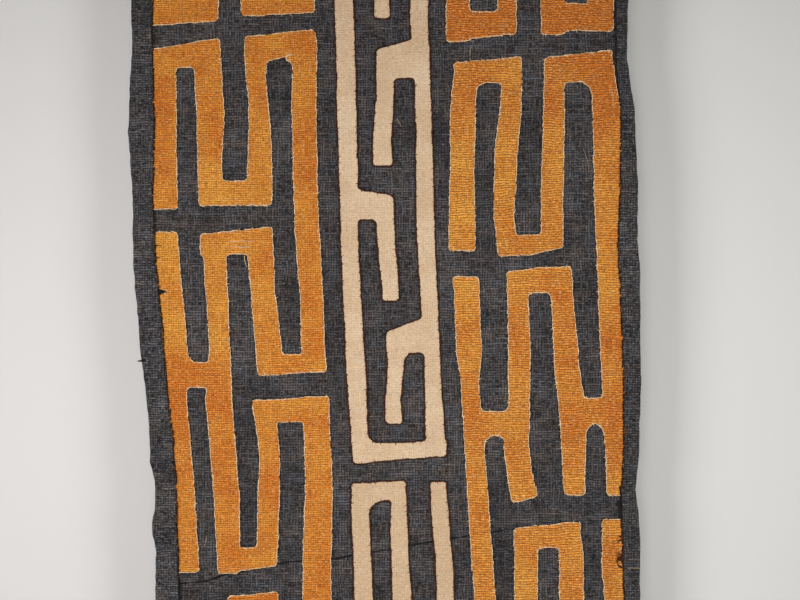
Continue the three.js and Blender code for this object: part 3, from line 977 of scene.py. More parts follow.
@dataclass(frozen=True)
class Thread:
    """Finish of a sewing thread.

    Attributes:
        name: Name of the finish.
        light: Colour of the palest threads.
        dark: Colour of the darkest threads.
        roughness: Roughness of the thread.
    """

    name: str
    light: Colour
    dark: Colour
    roughness: float = 0.8

    def material(self) -> bpy.types.Material:
        """Builds the material: each stitch has its own tone, with fine fibres and patches of dirt.

        Returns:
            The material.
        """
        made, board = new_material(self.name)
        place = board.node("ShaderNodeTexCoord").outputs["Object"]
        fibres = board.noise(place, 1800, 2)
        dirt = board.ramp(board.noise(place, 90, 3), 0.35, 0.7)
        tone = board.sum("MULTIPLY_ADD", fibres, 0.4, board.sum("MULTIPLY", board.mark("tone"), 0.5))
        tone = board.sum("ADD", tone, board.sum("MULTIPLY", dirt, 0.25))
        base = board.blend(tone, linear(*self.light), linear(*self.dark))
        normal = board.node("ShaderNodeBump", {"Height": fibres, "Distance": 0.0002}).outputs[0]
        sockets = {"Base Color": base, "Roughness": self.roughness, "Normal": normal}
        skin = board.node("ShaderNodeBsdfPrincipled", sockets | {"Specular IOR Level": 0.25})
        board.node("ShaderNodeOutputMaterial", {"Surface": skin.outputs[0]})
        return made


class Slot(Enum):
    """The record's material slots."""

    GROUND = "ground_raffia"
    STRIP = "strip_raffia"
    ORANGE = "orange_raffia"
    CREAM = "cream_raffia"


def fitted(piece: bpy.types.Object, slot: Slot, *nodes: str) -> bpy.types.Object:
    """Lets a finished piece ride on the cloth's body, and hides the nodes that it stands for.

    Args:
        piece: The finished piece.
        slot: Not used.
        nodes: Nodes that it replaces.

    Returns:
        The same piece.
    """
    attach(piece, "root")
    if nodes:
        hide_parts(*nodes)
    log.info("%s: %d faces", piece.name, len(piece.data.polygons))
    return piece


def solid(piece: bpy.types.Object, thickness: float) -> bpy.types.Object:
    """Gives a sheet its thickness, half to each side.

    Args:
        piece: The sheet.
        thickness: In metres.

    Returns:
        The same piece.
    """
    wall = piece.modifiers.new("thickness", "SOLIDIFY")
    wall.thickness, wall.offset = thickness, 0.0
    wall.use_even_offset = False
    return piece


@dataclass
class GroundPanels:
    """The charcoal ground: two panels, a turned hem at each end, and the lapped join between them.

    Attributes:
        cell: Size of a grid square, in millimetres.
        thickness: Thickness of the cloth, in millimetres.
        overlap: How far the panels pass under the side strips, in millimetres.
        width: Width that is divided into the grid's columns, in millimetres.
        join: Mean depth of the join, from which its rows are found, in millimetres.
        last_level: Depth at which the upper rows begin to lean, in millimetres.
        first_level: Depth from which the lower rows are level again, in millimetres.
    """

    cell: float = 3.2
    thickness: float = 1.1
    overlap: float = 9.0
    width: float = 500.0
    join: float = 550.0
    last_level: float = 440.0
    first_level: float = 612.0

    def sheet(self, share: np.ndarray, shift: np.ndarray, front: np.ndarray) -> Shape:
        """Lays rows across the cloth: each lies at its share of the join's own depth, plus its shift.

        Args:
            share: For each row, 0 for a level row to 1 for one that follows the join.
            shift: For each row, its further depth in millimetres.
            front: For each row, its distance to the front in millimetres.

        Returns:
            The sheet as one layer.
        """
        across = np.linspace(0, 1, int(self.width / self.cell))[None, :]
        d = shift[:, None] + self.join * share[:, None] + np.zeros_like(across)
        for _ in range(3):
            left = np.interp(d, *np.array(LEFT_STRIP, dtype=float).T[[0, 2]]) - self.overlap
            right = np.interp(d, *np.array(RIGHT_STRIP, dtype=float).T[[0, 2]]) + self.overlap
            x = left + (right - left) * across
            join = np.interp(x, *np.array(GROUND_JOIN, dtype=float).T)
            d = share[:, None] * join + shift[:, None]
        points = hang(x, d, front[:, None] + np.zeros_like(x)).reshape(-1, 3)
        cloud = 0.10 + 0.22 * cloth_noise(x, d, 70, 11) + 0.12 * cloth_noise(x, d, 24, 12)
        cloud = cloud + patches(x, d, GROUND_DYE)
        marks = {"dye": cloud.reshape(-1), "edge": np.zeros(x.size)}
        return Shape(points, [grid_faces(*x.shape)], marks)

    @staticmethod
    def between(level: float, offset: float, steps: int) -> tuple[np.ndarray, np.ndarray]:
        """Rows that pass evenly from a level row to one that follows the join at an offset."""
        s = np.linspace(0, 1, steps + 2)[1:-1]
        return s, (1 - s) * level + s * offset

    def upper(self) -> Shape:
        """Upper panel: hem behind, top fold, the field, and the turned edge above the join.

        Returns:
            The panel as one layer.
        """
        turn, turn_front = np.array(HEM_TURN).T
        edge, edge_front = np.array(UPPER_EDGE).T
        behind = np.linspace(TOP + HEM, TOP + turn[-1], HEM_ROWS)
        main = np.arange(TOP + 4, self.last_level, self.cell)
        share, shift = self.between(main[-1], edge[0], 40)
        shares = [np.zeros(len(behind) + len(turn) + len(main)), share, np.ones(len(edge))]
        shifts = [behind, TOP + turn, main, shift, edge]
        front = [np.full(HEM_ROWS, HEM_BACK), turn_front, np.zeros(len(main) + len(share)), edge_front]
        return self.sheet(np.concatenate(shares), np.concatenate(shifts), np.concatenate(front))

    def lower(self) -> Shape:
        """Lower panel: its edge tucked behind the upper one, the field, the bottom fold and hem.

        Returns:
            The panel as one layer.
        """
        turn, turn_front = np.array(HEM_TURN[::-1]).T
        edge, edge_front = np.array(LOWER_EDGE).T
        share, shift = self.between(self.first_level, edge[-1], 18)
        main = np.arange(self.first_level, BOTTOM - 4, self.cell)
        behind = BOTTOM - np.linspace(turn[0], HEM, HEM_ROWS)
        shares = [np.ones(len(edge)), share[::-1], np.zeros(len(main) + len(turn) + len(behind))]
        shifts = [edge, shift[::-1], main, BOTTOM - turn, behind]
        front = [edge_front, np.zeros(len(share) + len(main)), turn_front, np.full(HEM_ROWS, HEM_BACK)]
        return self.sheet(np.concatenate(shares), np.concatenate(shifts), np.concatenate(front))

    def build(self, finish: bpy.types.Material) -> list[bpy.types.Object]:
        """Args:
            finish: Their material.

        Returns:
            The upper and the lower panel.
        """
        upper = solid(self.upper().make("cloth_ground_upper", finish), self.thickness * MM)
        lower = solid(self.lower().make("cloth_ground_lower", finish), self.thickness * MM)
        fitted(upper, Slot.GROUND, "ground_upper")
        fitted(lower, Slot.GROUND, "ground_lower")
        return [upper, lower]


@dataclass
class SideStrip:
    """One narrow strip sewn along a side edge: a folded band, thickest along its inner edge.

    Attributes:
        name: Name of its node.
        rows: Its outer and inner edges.
        seed: Fixes its small unevenness.
        flat: Width of the flat strip, in metres. Not used.
        cell: Distance between sections, in millimetres.
        wide: Usual width of the hanging strip, in millimetres.
        fold: Width of the painted shade along its turned inner edge, in millimetres.
    """

    name: str
    rows: Rows
    seed: int
    flat: float
    cell: float = 3.0
    wide: float = 22.0
    fold: float = 1.6

    def edges(self, d: np.ndarray) -> tuple[np.ndarray, np.ndarray]:
        """Reads both edges at the depths d, with the small unevenness of a hand-rolled edge.

        Args:
            d: Depths, in millimetres.

        Returns:
            The x of the outer and of the inner edge at each depth.
        """
        table = np.array(self.rows, dtype=float).T
        lane = np.full_like(d, float(self.seed))
        rough = 0.7 * cloth_noise(lane, d, 17, self.seed) + 0.4 * cloth_noise(lane, d, 6, self.seed + 1)
        inner = np.interp(d, table[0], table[2]) + 0.5 * cloth_noise(lane, d, 15, self.seed + 2)
        return np.interp(d, table[0], table[1]) + rough, inner

    def shape(self) -> Shape:
        """Carries a closed section down the strip: crowned front, round edges, flat back.

        Across the strip, share 0 is the inner edge and 1 the outer one. The front drops from the
        turned inner edge, over the pieces below, to the thin outer edge.

        Returns:
            The closed strip.
        """
        main = np.arange(TOP + 3, BOTTOM - 2, self.cell)
        d = np.concatenate([[TOP, TOP + 0.6], main, [BOTTOM - 0.6, BOTTOM]])
        outer, inner = self.edges(d)
        share, front, back = np.array(STRIP_SECTION).T
        shares = np.concatenate([share, share[::-1]])
        fronts = np.concatenate([front, back[::-1]])
        x = inner[:, None] + (outer - inner)[:, None] * shares[None, :]
        dd = d[:, None] + np.zeros_like(x)
        ends = np.minimum(1, np.minimum(d - TOP, BOTTOM - d) / 2)[:, None]
        ruck = 0.22 * cloth_noise(x, dd, 9, self.seed + 3) * ends
        middle = fronts[None, :] * 0.5 + 1.3
        depth = middle + (fronts[None, :] - middle) * (0.5 + 0.5 * ends) + ruck
        points = hang(x, dd, depth).reshape(-1, 3)
        at = np.arange(x.size).reshape(x.shape)
        turned = np.roll(at, -1, axis=1)
        walls = [at[:-1], turned[:-1], turned[1:], at[1:]]
        if outer[0] > inner[0]:
            walls = walls[::-1]
        caps = [at[:1, ::-1], at[-1:]] if outer[0] < inner[0] else [at[:1], at[-1:, ::-1]]
        quads = np.stack([w.reshape(-1) for w in walls], axis=1)
        dye = 0.35 + 0.25 * cloth_noise(x, dd, 60, self.seed + 4)
        dye = dye + 0.15 * cloth_noise(x, dd, 14, self.seed + 5)
        dye = dye + patches(x, dd, STRIP_DYE)
        # Painted shade along the turned inner edge, fading over the fold width.
        fold = np.exp(-((shares[None, :] * self.wide / self.fold) ** 2)) + np.zeros_like(x)
        marks = {"dye": dye.reshape(-1), "edge": 0.55 * fold.reshape(-1)}
        return Shape(points, [quads, *caps], marks)

    def build(self, finish: bpy.types.Material, hangs_on: list[str]) -> bpy.types.Object:
        """Args:
            finish: Its material.
            hangs_on: Not used.

        Returns:
            The strip.
        """
        piece = self.shape().make("cloth_" + self.name, finish)
        fitted(piece, Slot.STRIP, self.name)
        return piece


@dataclass
class CutPiece:
    """One sewn-on piece: cut from a cloth in rounded strokes, its edges turned under and sewn down.

    Attributes:
        name: Name of its node.
        strokes: The strokes that its outline joins.
        seed: Fixes the unevenness of its edge.
        slot: Where its finish comes from.
        bites: Places where the edge is cut back: middle x, middle d, half width, half height.
        cell: Size of a grid square, in millimetres.
        margin: How far the grid reaches past the strokes' middle lines, in millimetres.
        inset: Width of the rounded rim, in millimetres.
        front: Height of the field over the cloth's middle plane, in millimetres.
        back: Height of its underside, in millimetres.
        ridge: Extra height where the edge is turned under, in millimetres.
        cockle: Height of the small puckers between the stitches, in millimetres.
        pinch: How far the stitches pull the edge in and out, in millimetres.
        sewn: Distance of the sewing from the inset line, in millimetres.
    """

    name: str
    strokes: Strokes
    seed: int
    slot: Slot = Slot.ORANGE
    bites: Rows = ()
    cell: float = 1.9
    margin: float = 24.0
    inset: float = 1.5
    front: float = 1.75
    back: float = 0.85
    ridge: float = 0.28
    cockle: float = 0.10
    pinch: float = 0.22
    sewn: float = 1.2

    def outline(self) -> tuple[np.ndarray, np.ndarray, np.ndarray]:
        """Works out the signed distance to the piece on a grid.

        Strokes that cross are blended with a smooth minimum, whose width shrinks where their
        gradients run the same way, so only inner corners get round. Noise makes the edge uneven.

        Returns:
            Places of the columns, places of the rows, and the distances.
        """
        rows = np.concatenate([np.array(s, dtype=float) for s in self.strokes])
        low = rows[:, :2].min(axis=0) - self.margin
        high = rows[:, :2].max(axis=0) + self.margin
        xs = np.arange(low[0], high[0], self.cell)
        ds = np.arange(low[1], high[1], self.cell)
        x, d = np.meshgrid(xs, ds)
        total = stroke_distance(self.strokes[0], x, d)
        for stroke in self.strokes[1:]:
            other = stroke_distance(stroke, x, d)
            gd, gx = np.gradient(total, self.cell)
            hd, hx = np.gradient(other, self.cell)
            wide = BLEND * np.clip(1 - 1.3 * np.abs(gd * hd + gx * hx), 0.001, 1)
            overlap = np.maximum(wide - np.abs(total - other), 0) / wide
            total = np.minimum(total, other) - overlap**2 * wide / 4
        total += 0.45 * cloth_noise(x, d, 19, self.seed) + 0.30 * cloth_noise(x, d, 7, self.seed + 1)
        for middle, depth, half_x, half_d in self.bites:
            tear = np.abs(x - middle) / half_x + np.abs(d - depth) / half_d - 1
            total = np.maximum(total, -tear * min(half_x, half_d))
        return xs, ds, total

    def dye(self, x: np.ndarray, d: np.ndarray) -> np.ndarray:
        """Depth of the dye: a cloudy base and the patches of its colour."""
        rows = CREAM_DYE if self.slot is Slot.CREAM else ORANGE_DYE
        return 0.12 + 0.16 * cloth_noise(x, d, 42, self.seed + 3) + patches(x, d, rows)

    def fill(self, xs: np.ndarray, ds: np.ndarray, level: np.ndarray) -> tuple[np.ndarray, np.ndarray]:
        """Fills the inside of a level line with triangles.

        Args:
            xs: Places of the grid's columns.
            ds: Places of the grid's rows.
            level: Values on the grid, below zero inside.

        Returns:
            Places as x and d, and triangles.
        """
        x, d = np.meshgrid(xs, ds)
        share = crossing(level[:, :-1], level[:, 1:])
        across = np.stack([xs[:-1] + share * self.cell, d[:, :-1]], axis=-1).reshape(-1, 2)
        share = crossing(level[:-1], level[1:])
        down = np.stack([x[:-1], ds[:-1, None] + share * self.cell], axis=-1).reshape(-1, 2)
        places = np.concatenate([np.stack([x, d], axis=-1).reshape(-1, 2), across, down])
        used, faces = np.unique(cut_faces(level < 0), return_inverse=True)
        return places[used], faces.reshape(-1, 3)

    def shape(self) -> tuple[Shape, list[np.ndarray], float]:
        """Builds the closed piece: fields in front and behind, joined by rings round the rim.

        The rim's points are first moved onto the level line, each by level / |slope|^2 times the slope.

        Returns:
            The shape, the closed lines of its outline, and its flat area in square metres.
        """
        xs, ds, distance = self.outline()
        level = distance + self.inset
        gd, gx = np.gradient(distance, self.cell)
        places, faces = self.fill(xs, ds, level)
        edges = rim_edges(faces)
        rim = np.unique(edges)
        for _ in range(2):
            slope = np.stack([stretched(g, xs, ds, places[rim]) for g in (gx, gd)], axis=1)
            size = np.maximum((slope**2).sum(axis=1, keepdims=True), 0.3)
            places[rim] -= stretched(level, xs, ds, places[rim])[:, None] * slope / size
        slope = np.stack([stretched(g, xs, ds, places[rim]) for g in (gx, gd)], axis=1)
        slope /= np.maximum(np.linalg.norm(slope, axis=1, keepdims=True), 1e-6)
        x, d = places.T
        inner = -stretched(distance, xs, ds, places)
        ridge = self.ridge * np.clip((7.0 - inner) / 2.5, 0, 1)
        cockle = self.cockle * cloth_noise(x, d, 3.1, 21) * np.clip((6 - inner) / 3, 0, 1)
        points = [hang(x, d, self.front + ridge + cockle)]
        edge = [np.clip((2.6 - inner) / 2.4, 0, 1) * 0.3]
        ring = np.searchsorted(rim, edges)
        last, quads, count = rim, [], len(places)
        pinch = self.pinch * cloth_noise(x[rim], d[rim], 2.3, 23)
        # Each ring's darkness goes into the edge mark: painted shade on the rim, and a painted contact
        # shadow on the two outer rings.
        for push, height, dark in RIM_RINGS:
            line = places[rim] + slope * (push + pinch * (push > 0.8))[:, None]
            lift = np.maximum(self.front + self.ridge + height, 0.62)
            points.append(hang(line[:, 0], line[:, 1], lift))
            edge.append(np.full(len(rim), dark))
            now = count + np.arange(len(rim))
            quads.append(ring_wall(ring, last, now))
            last, count = now, count + len(rim)
        below = count + np.arange(len(places))
        points.append(hang(x, d, self.back))
        edge.append(np.full(len(places), 1.0))
        quads.append(ring_wall(ring, last, below[rim]))
        dye = self.dye(x, d)
        dyes = [dye, *[dye[rim]] * len(RIM_RINGS), dye]
        marks = {"dye": np.concatenate(dyes), "edge": np.concatenate(edge)}
        made = Shape(np.concatenate(points), [faces, np.concatenate(quads), below[faces[:, ::-1]]], marks)
        outline = places.copy()
        outline[rim] += slope * self.sewn
        loops = [outline[loop] for loop in loops_of(edges, places)]
        area = float((distance < 0).sum()) * (self.cell * MM) ** 2
        return made, loops, area

    def build(self, finish: bpy.types.Material) -> tuple[bpy.types.Object, list[np.ndarray]]:
        """Args:
            finish: Its material.

        Returns:
            The piece and the closed lines of its outline.
        """
        made, loops, area = self.shape()
        piece = made.make("cloth_" + self.name, finish)
        fitted(piece, self.slot, self.name)
        return piece, loops


class Lie(Enum):
    """How a stitch lies on an edge."""

    ALONG = "along"
    ACROSS = "across"


@dataclass
class EdgeSewing:
    """One row of stitches on an edge, as many short threads in one mesh.

    Attributes:
        name: Name of the piece.
        lie: Whether the stitches lie along the edge or across it.
        pitch: Distance between stitches, in millimetres.
        length: Length of a stitch, in millimetres.
        radius: Radius of the thread, in millimetres.
        slant: How far a stitch leans over its length, in millimetres.
        heights: Height of its inner and outer end over the middle plane, in millimetres.
        skip: Share of stitches that are worn away.
        seed: Fixes the unevenness.
        shift: How far the stitches lie outside the line, in millimetres.
        closed: Whether the lines return to their start.
        bare: Places without stitches: middle x, middle d, half width, half height.
        arch: How far a stitch bows out over its length, in millimetres.
    """

    name: str
    lie: Lie
    pitch: float
    length: float
    radius: float
    slant: float
    heights: tuple[float, float]
    skip: float
    seed: int
    shift: float = 0.0
    closed: bool = True
    bare: Rows = ()
    arch: float = 0.30

    def shape(self, lines: list[np.ndarray]) -> Shape:
        """Sets the stitches: each is a short arch at its own place, length, lean and thickness.

        Args:
            lines: Lines of the edges, with the cloth on their right when seen from the front.

        Returns:
            All stitches as one shape.
        """
        rng = np.random.default_rng(self.seed)
        spots, ways = [], []
        for line in lines:
            at = evenly(line, self.pitch, self.closed)
            way = np.roll(at, -1, axis=0) - np.roll(at, 1, axis=0)
            if not self.closed:
                way = np.gradient(at, axis=0)
            spots.append(at)
            ways.append(way / np.maximum(np.linalg.norm(way, axis=1, keepdims=True), 1e-6))
        spot, way = np.concatenate(spots), np.concatenate(ways)
        kept = rng.uniform(0, 1, len(spot)) > self.skip
        for middle, depth, half_x, half_d in self.bare:
            kept &= (np.abs(spot[:, 0] - middle) > half_x) | (np.abs(spot[:, 1] - depth) > half_d)
        spot, way = spot[kept], way[kept]
        n = len(spot)
        out = np.stack([-way[:, 1], way[:, 0]], axis=1)
        spot = spot + way * (self.pitch * rng.uniform(-0.25, 0.25, n))[:, None]
        spot = spot + out * (self.shift + rng.normal(0, 0.2, n))[:, None]
        t = np.linspace(-0.5, 0.5, 5)
        long = self.length * rng.uniform(0.7, 1.3, n)
        lean = self.slant * rng.uniform(0.3, 1.5, n)
        run, side = (way, out) if self.lie is Lie.ALONG else (out, way)
        place = spot[:, None] + run[:, None] * (long[:, None] * t)[..., None]
        place = place + side[:, None] * (lean[:, None] * t)[..., None]
        inner, outer = self.heights
        fall = inner + (outer - inner) * (t + 0.5) ** 1.6
        height = fall + self.arch * np.cos(np.pi * t) + rng.uniform(-0.1, 0.15, n)[:, None]
        thick = self.radius * rng.uniform(0.7, 1.3, n)[:, None] * (0.6 + 0.4 * np.cos(np.pi * t))
        return threads(hang(place[..., 0], place[..., 1], height), thick * MM)

    def build(self, lines: list[np.ndarray], finish: bpy.types.Material, slot: Slot) -> bpy.types.Object:
        """Makes the stitches as one piece."""
        return fitted(self.shape(lines).make(self.name, finish), slot)


@dataclass
class LooseThreads:
    """Frayed and loose threads that lie on the cloth or stick out at its edge.

    Attributes:
        name: Name of the piece.
        rows: Start x, start d, length, turn in degrees from the right, curl in degrees, height, radius.
    """

    name: str
    rows: Rows

    def build(self, finish: bpy.types.Material, slot: Slot) -> bpy.types.Object:
        """Bends every thread along an arc: its direction turns evenly by the curl along its length.

        Args:
            finish: Material of the threads.
            slot: Where it comes from.

        Returns:
            The threads as one piece.
        """
        x, d, length, turn, curl, height, radius = np.array(self.rows, dtype=float).T
        t = np.linspace(0, 1, 9)
        way = np.radians(turn[:, None] + curl[:, None] * (t - 0.5))
        step = length[:, None] / (len(t) - 1)
        px = x[:, None] + np.cumsum(np.cos(way) * step, axis=1)
        pd = d[:, None] + np.cumsum(np.sin(way) * step, axis=1)
        lift = height[:, None] + 0.25 * np.sin(t * 7 + x[:, None])
        thick = radius[:, None] * (1 - 0.6 * t**2)
        return fitted(threads(hang(px, pd, lift), thick * MM).make(self.name, finish), slot)


@dataclass(frozen=True)
class SoftLight:
    """A square soft light that looks at the cloth.

    Attributes:
        name: Name of the light.
        place: Where it hangs, in metres.
        size: Side of its square, in metres.
        power: Power in watts.
        spread: Angle of its beam, in degrees.
        tint: Colour of its light.
        beside: How far beside the cloth's middle it looks, in metres.
    """

    name: str
    place: Place
    size: float
    power: float
    spread: float
    tint: Colour
    beside: float = 0.0

    def hang(self, aim: float) -> None:
        """Hangs the light.

        Args:
            aim: Height that it looks at, in metres.
        """
        lamp = bpy.data.lights.new(self.name, "AREA")
        lamp.size, lamp.energy, lamp.color = self.size, self.power, self.tint
        lamp.spread = math.radians(self.spread)
        made = bpy.data.objects.new(self.name, lamp)
        made.location = self.place
        x, y, z = np.array([self.beside, 0.0, aim]) - np.array(self.place)
        tilt = math.pi / 2 + math.atan2(z, math.hypot(x, y))
        made.rotation_euler = (tilt, 0, math.atan2(y, x) - math.pi / 2)
        bpy.context.scene.collection.objects.link(made)


LIGHTS = (
    SoftLight("light_left", (-1.3, -1.4, -0.55), 0.9, 3.65, 76, (1.0, 0.965, 0.96)),
    SoftLight("light_wall", (-1.0, -0.6, -0.45), 0.3, 0.09, 50, (1.0, 0.97, 0.96), -0.75),
    SoftLight("light_right", (1.3, -1.4, -0.55), 0.9, 2.6, 76, (0.97, 1.0, 0.93)),
    SoftLight("light_front", (-0.15, -2.3, -0.62), 0.9, 1.67, 46, (1.0, 0.99, 0.98)),
    SoftLight("light_behind", (0.6, 2.4, 0.3), 1.6, 30, 180, (1.0, 1.0, 1.0)),
)


@dataclass
class Studio:
    """Pale wall and floor, the soft lights, and the camera.

    Attributes:
        wall_gap: Distance from the cloth's middle plane to the wall, in metres.
        floor: Height of the floor, in metres.
        top: Height of the wall's top, in metres.
        half: Half the width of the wall and floor, in metres.
        reach: How far the floor runs to the front and to the back, in metres.
        aim: Height that the lights look at, in metres.
        room: Strength of the room's own soft light.
        eye: Place of the camera, in metres.
        lens: Focal length of the camera, in millimetres.
        sensor: Width of its sensor, in millimetres.
    """

    wall_gap: float = 0.055
    floor: float = -1.35
    top: float = 1.9
    half: float = 3.0
    reach: float = 3.2
    aim: float = -0.56
    room: float = 0.19
    eye: Place = (0.015, -2.0, -0.45)
    lens: float = 90
    sensor: float = 36

    @staticmethod
    def paper(name: str, colour: Colour) -> bpy.types.Material:
        """Builds the finish of the wall and floor: clear from its back, and no bar to the light behind.

        Args:
            name: Name of the finish.
            colour: Its colour.

        Returns:
            The material.
        """
        made, board = new_material(name)
        sockets = {"Base Color": linear(*colour), "Roughness": 0.95, "Specular IOR Level": 0.1}
        skin = board.node("ShaderNodeBsdfPrincipled", sockets)
        clear = board.node("ShaderNodeBsdfTransparent")
        behind = board.node("ShaderNodeNewGeometry").outputs["Backfacing"]
        shadow = board.node("ShaderNodeLightPath").outputs["Is Shadow Ray"]
        open_to = board.sum("MAXIMUM", behind, shadow)
        both = board.node("ShaderNodeMixShader", {0: open_to, 1: skin.outputs[0], 2: clear.outputs[0]})
        board.node("ShaderNodeOutputMaterial", {"Surface": both.outputs[0]})
        return made

    def stage(self) -> None:
        """Makes the wall and the floor, each a flat grid."""
        along = np.linspace(-self.half, self.half, 9)
        x, z = np.meshgrid(along, np.linspace(self.floor, self.top, 9)[::-1])
        points = np.stack([x, np.full_like(x, self.wall_gap), z], axis=-1).reshape(-1, 3)
        paper = self.paper("pale_wall", (224, 222, 221))
        wall = Shape(points, [grid_faces(9, 9)]).make("stage_wall", paper)
        x, y = np.meshgrid(along, np.linspace(self.reach, -self.reach, 9))
        points = np.stack([x, y, np.full_like(x, self.floor)], axis=-1).reshape(-1, 3)
        paper = self.paper("pale_floor", (226, 226, 224))
        floor = Shape(points, [grid_faces(9, 9)]).make("stage_floor", paper)

    def build(self) -> None:
        """Makes the stage, the lights, the room's own light and the camera."""
        self.stage()
        for light in LIGHTS:
            light.hang(self.aim)
        scene = bpy.context.scene
        world = bpy.data.worlds.new("room")
        world.use_nodes = True
        sky = world.node_tree.nodes["Background"].inputs
        sky[0].default_value, sky[1].default_value = linear(205, 208, 210), self.room
        scene.world = world
        scene.view_settings.view_transform = "Standard"
        lens = bpy.data.cameras.new("camera")
        lens.lens, lens.sensor_width = self.lens, self.sensor
        camera = bpy.data.objects.new("camera", lens)
        camera.location = self.eye
        camera.rotation_euler = (math.pi / 2, 0, 0)
        scene.collection.objects.link(camera)
        scene.camera = camera


# Finishes of the cloths and of the threads.
GROUND_FINISH = RaffiaCloth(
    "charcoal_raffia",
    light=(140, 136, 134), middle=(84, 79, 80), deep=(54, 50, 52), edge=(14, 10, 10),
    row=0.0025, column=0.0027, wander=2.0, rib=0.14, contrast=0.64, grain=0.46, fleck=0.22, tint=0.80,
    gap=0.68, relief=0.0007, roughness=0.86, sheen=0.15, seed=1.3,
)
STRIP_FINISH = RaffiaCloth(
    "dark_raffia",
    light=(162, 158, 160), middle=(96, 92, 94), deep=(60, 57, 59), edge=(12, 8, 9),
    row=0.0024, column=0.0026, wander=2.2, rib=0.32, contrast=0.66, grain=0.60, fleck=0.26, tint=0.60,
    gap=0.90, relief=0.0010, roughness=0.88, sheen=0.15, seed=4.1,
)
ORANGE_FINISH = RaffiaCloth(
    "orange_raffia_cloth",
    light=(244, 196, 134), middle=(233, 159, 54), deep=(207, 112, 19), edge=(116, 48, 4),
    row=0.0022, column=0.0024, wander=2.6, rib=0.38, contrast=0.14, grain=0.28, fleck=0.36, tint=0.08,
    gap=0.70, relief=0.0008, roughness=0.72, sheen=0.2, seed=7.7,
)
RIBBED_FINISH = RaffiaCloth(
    "ribbed_orange_raffia",
    light=(250, 204, 142), middle=(237, 163, 57), deep=(210, 115, 21), edge=(108, 40, 4),
    row=0.0024, column=0.0024, wander=3.9, rib=0.56, contrast=0.16, grain=0.24, fleck=0.46, tint=0.08,
    gap=0.80, relief=0.0010, roughness=0.72, sheen=0.2, seed=3.3,
)
CREAM_FINISH = RaffiaCloth(
    "cream_raffia_cloth",
    light=(240, 224, 200), middle=(223, 196, 164), deep=(204, 172, 138), edge=(130, 90, 60),
    row=0.0024, column=0.0024, wander=2.0, rib=0.10, contrast=0.05, grain=0.11, fleck=0.15, tint=0.10,
    gap=0.11, relief=0.0004, roughness=0.78, sheen=0.2, seed=2.9,
)
PALE_THREAD = Thread("pale_raffia_thread", (250, 228, 194), (216, 166, 112))
DARK_THREAD = Thread("dark_brown_thread", (88, 44, 28), (34, 16, 12))
BLACK_THREAD = Thread("black_thread", (36, 28, 30), (10, 7, 9))
# Colour of the line along the strips' inner edges, partly thread and partly painted shadow.
SEAM_AND_GAP_SHADE_THREAD = Thread("seam_and_gap_shade_thread", (56, 30, 20), (18, 9, 8))

# Places where an edge is torn, rounded or askew: middle x, middle d, half width, half height.
LEFT_BITES: Rows = ((155, 292, 11, 5.0), (158, 322, 5, 3))
FOOT_BITES: Rows = ((630, 548, 8.5, 4.0), (630, 562, 9.5, 5.5), (629, 536, 5, 3))
LEFT_ROUNDS: Rows = ((320, 27, 10, 10), (223, 36, 8, 8))
SKEW_BITES: Rows = ((541, 503.4, 30, 8.4),)

# Loose threads: start x, start d, length, turn, curl, height, radius.
PALE_WISPS: Rows = (
    (224, 243, 27, -3, 12, 2.6, 0.34), (228, 246, 20, 2, -10, 2.6, 0.28), (238, 249, 12, -8, 16, 2.6, 0.26),
    (245, 254, 12, 80, -30, 2.5, 0.32), (582, 146, 24, 75, 16, 1.0, 0.11), (590, 168, 24, 62, 20, 1.0, 0.11),
    (470, 56, 9, -80, 30, 1.6, 0.18), (612, 90, 14, 88, 10, 2.6, 0.24), (206, 535, 10, 100, 40, 1.4, 0.18),
    (396, 118, 9, 60, 30, 1.0, 0.18), (626, 568, 13, 2, 10, 4.1, 0.18),
)
FRAY_WISPS: Rows = (
    (623, 533, 8, 160, 170, 3.1, 0.8), (624, 544, 10, 190, -170, 3.1, 1.0),
    (622, 550, 9, 150, 200, 3.2, 1.0), (624, 557, 11, 200, 190, 3.2, 1.2),
    (622, 562, 10, 170, -220, 3.3, 1.2), (625, 566, 9, 200, 120, 3.2, 1.0),
    (619, 557, 8, 90, 240, 3.4, 1.1), (620, 536, 6, 80, 200, 3.2, 0.8),
)
# The thick dark threads at x 619 to 620, d 484 to 508, and at x 179.5, d 576 fill the gaps where the strips
# come away: partly frayed thread, partly the painted shadow of the gap.
DARK_WISPS_AND_GAP_SHADE: Rows = (
    (147, 361, 8, 180, -8, 3.7, 1.3), (153, 245.5, 8, 4, 10, 3.0, 0.6), (154, 258, 6, -4, -14, 3.0, 0.6),
    (157, 291.5, 9, 3, 4, 1.7, 2.4), (619.5, 484, 18, 86, 8, 2.3, 1.1), (619, 498, 21, 84, -14, 2.5, 1.7),
    (620, 508, 12, 88, 16, 2.4, 1.2), (179.5, 576, 26, 89, 3, 1.4, 1.1),
)

# Strips and sewn-on pieces. The smooth pieces are cut from the finer one of the two orange cloths.
SIDE_STRIPS = (
    SideStrip("left_strip", LEFT_STRIP, seed=31, flat=0.022),
    SideStrip("right_strip", RIGHT_STRIP, seed=41, flat=0.0165),
)
ORANGE_PIECES = (
    CutPiece("orange_left", ORANGE_LEFT, 100, bites=LEFT_BITES + LEFT_ROUNDS),
    CutPiece("orange_right", ORANGE_RIGHT, 110, bites=SKEW_BITES),
    CutPiece("orange_top_a", ORANGE_TOP_A, 120),
    CutPiece("orange_top_b", ORANGE_TOP_B, 130),
    CutPiece("orange_top_c", ORANGE_TOP_C, 140),
    CutPiece("orange_top_d", ORANGE_TOP_D, 150),
    CutPiece("orange_foot_a", ORANGE_FOOT_A, 160),
    CutPiece("orange_foot_b", ORANGE_FOOT_B, 170),
    CutPiece("orange_foot_c", ORANGE_FOOT_C, 180, bites=FOOT_BITES),
)
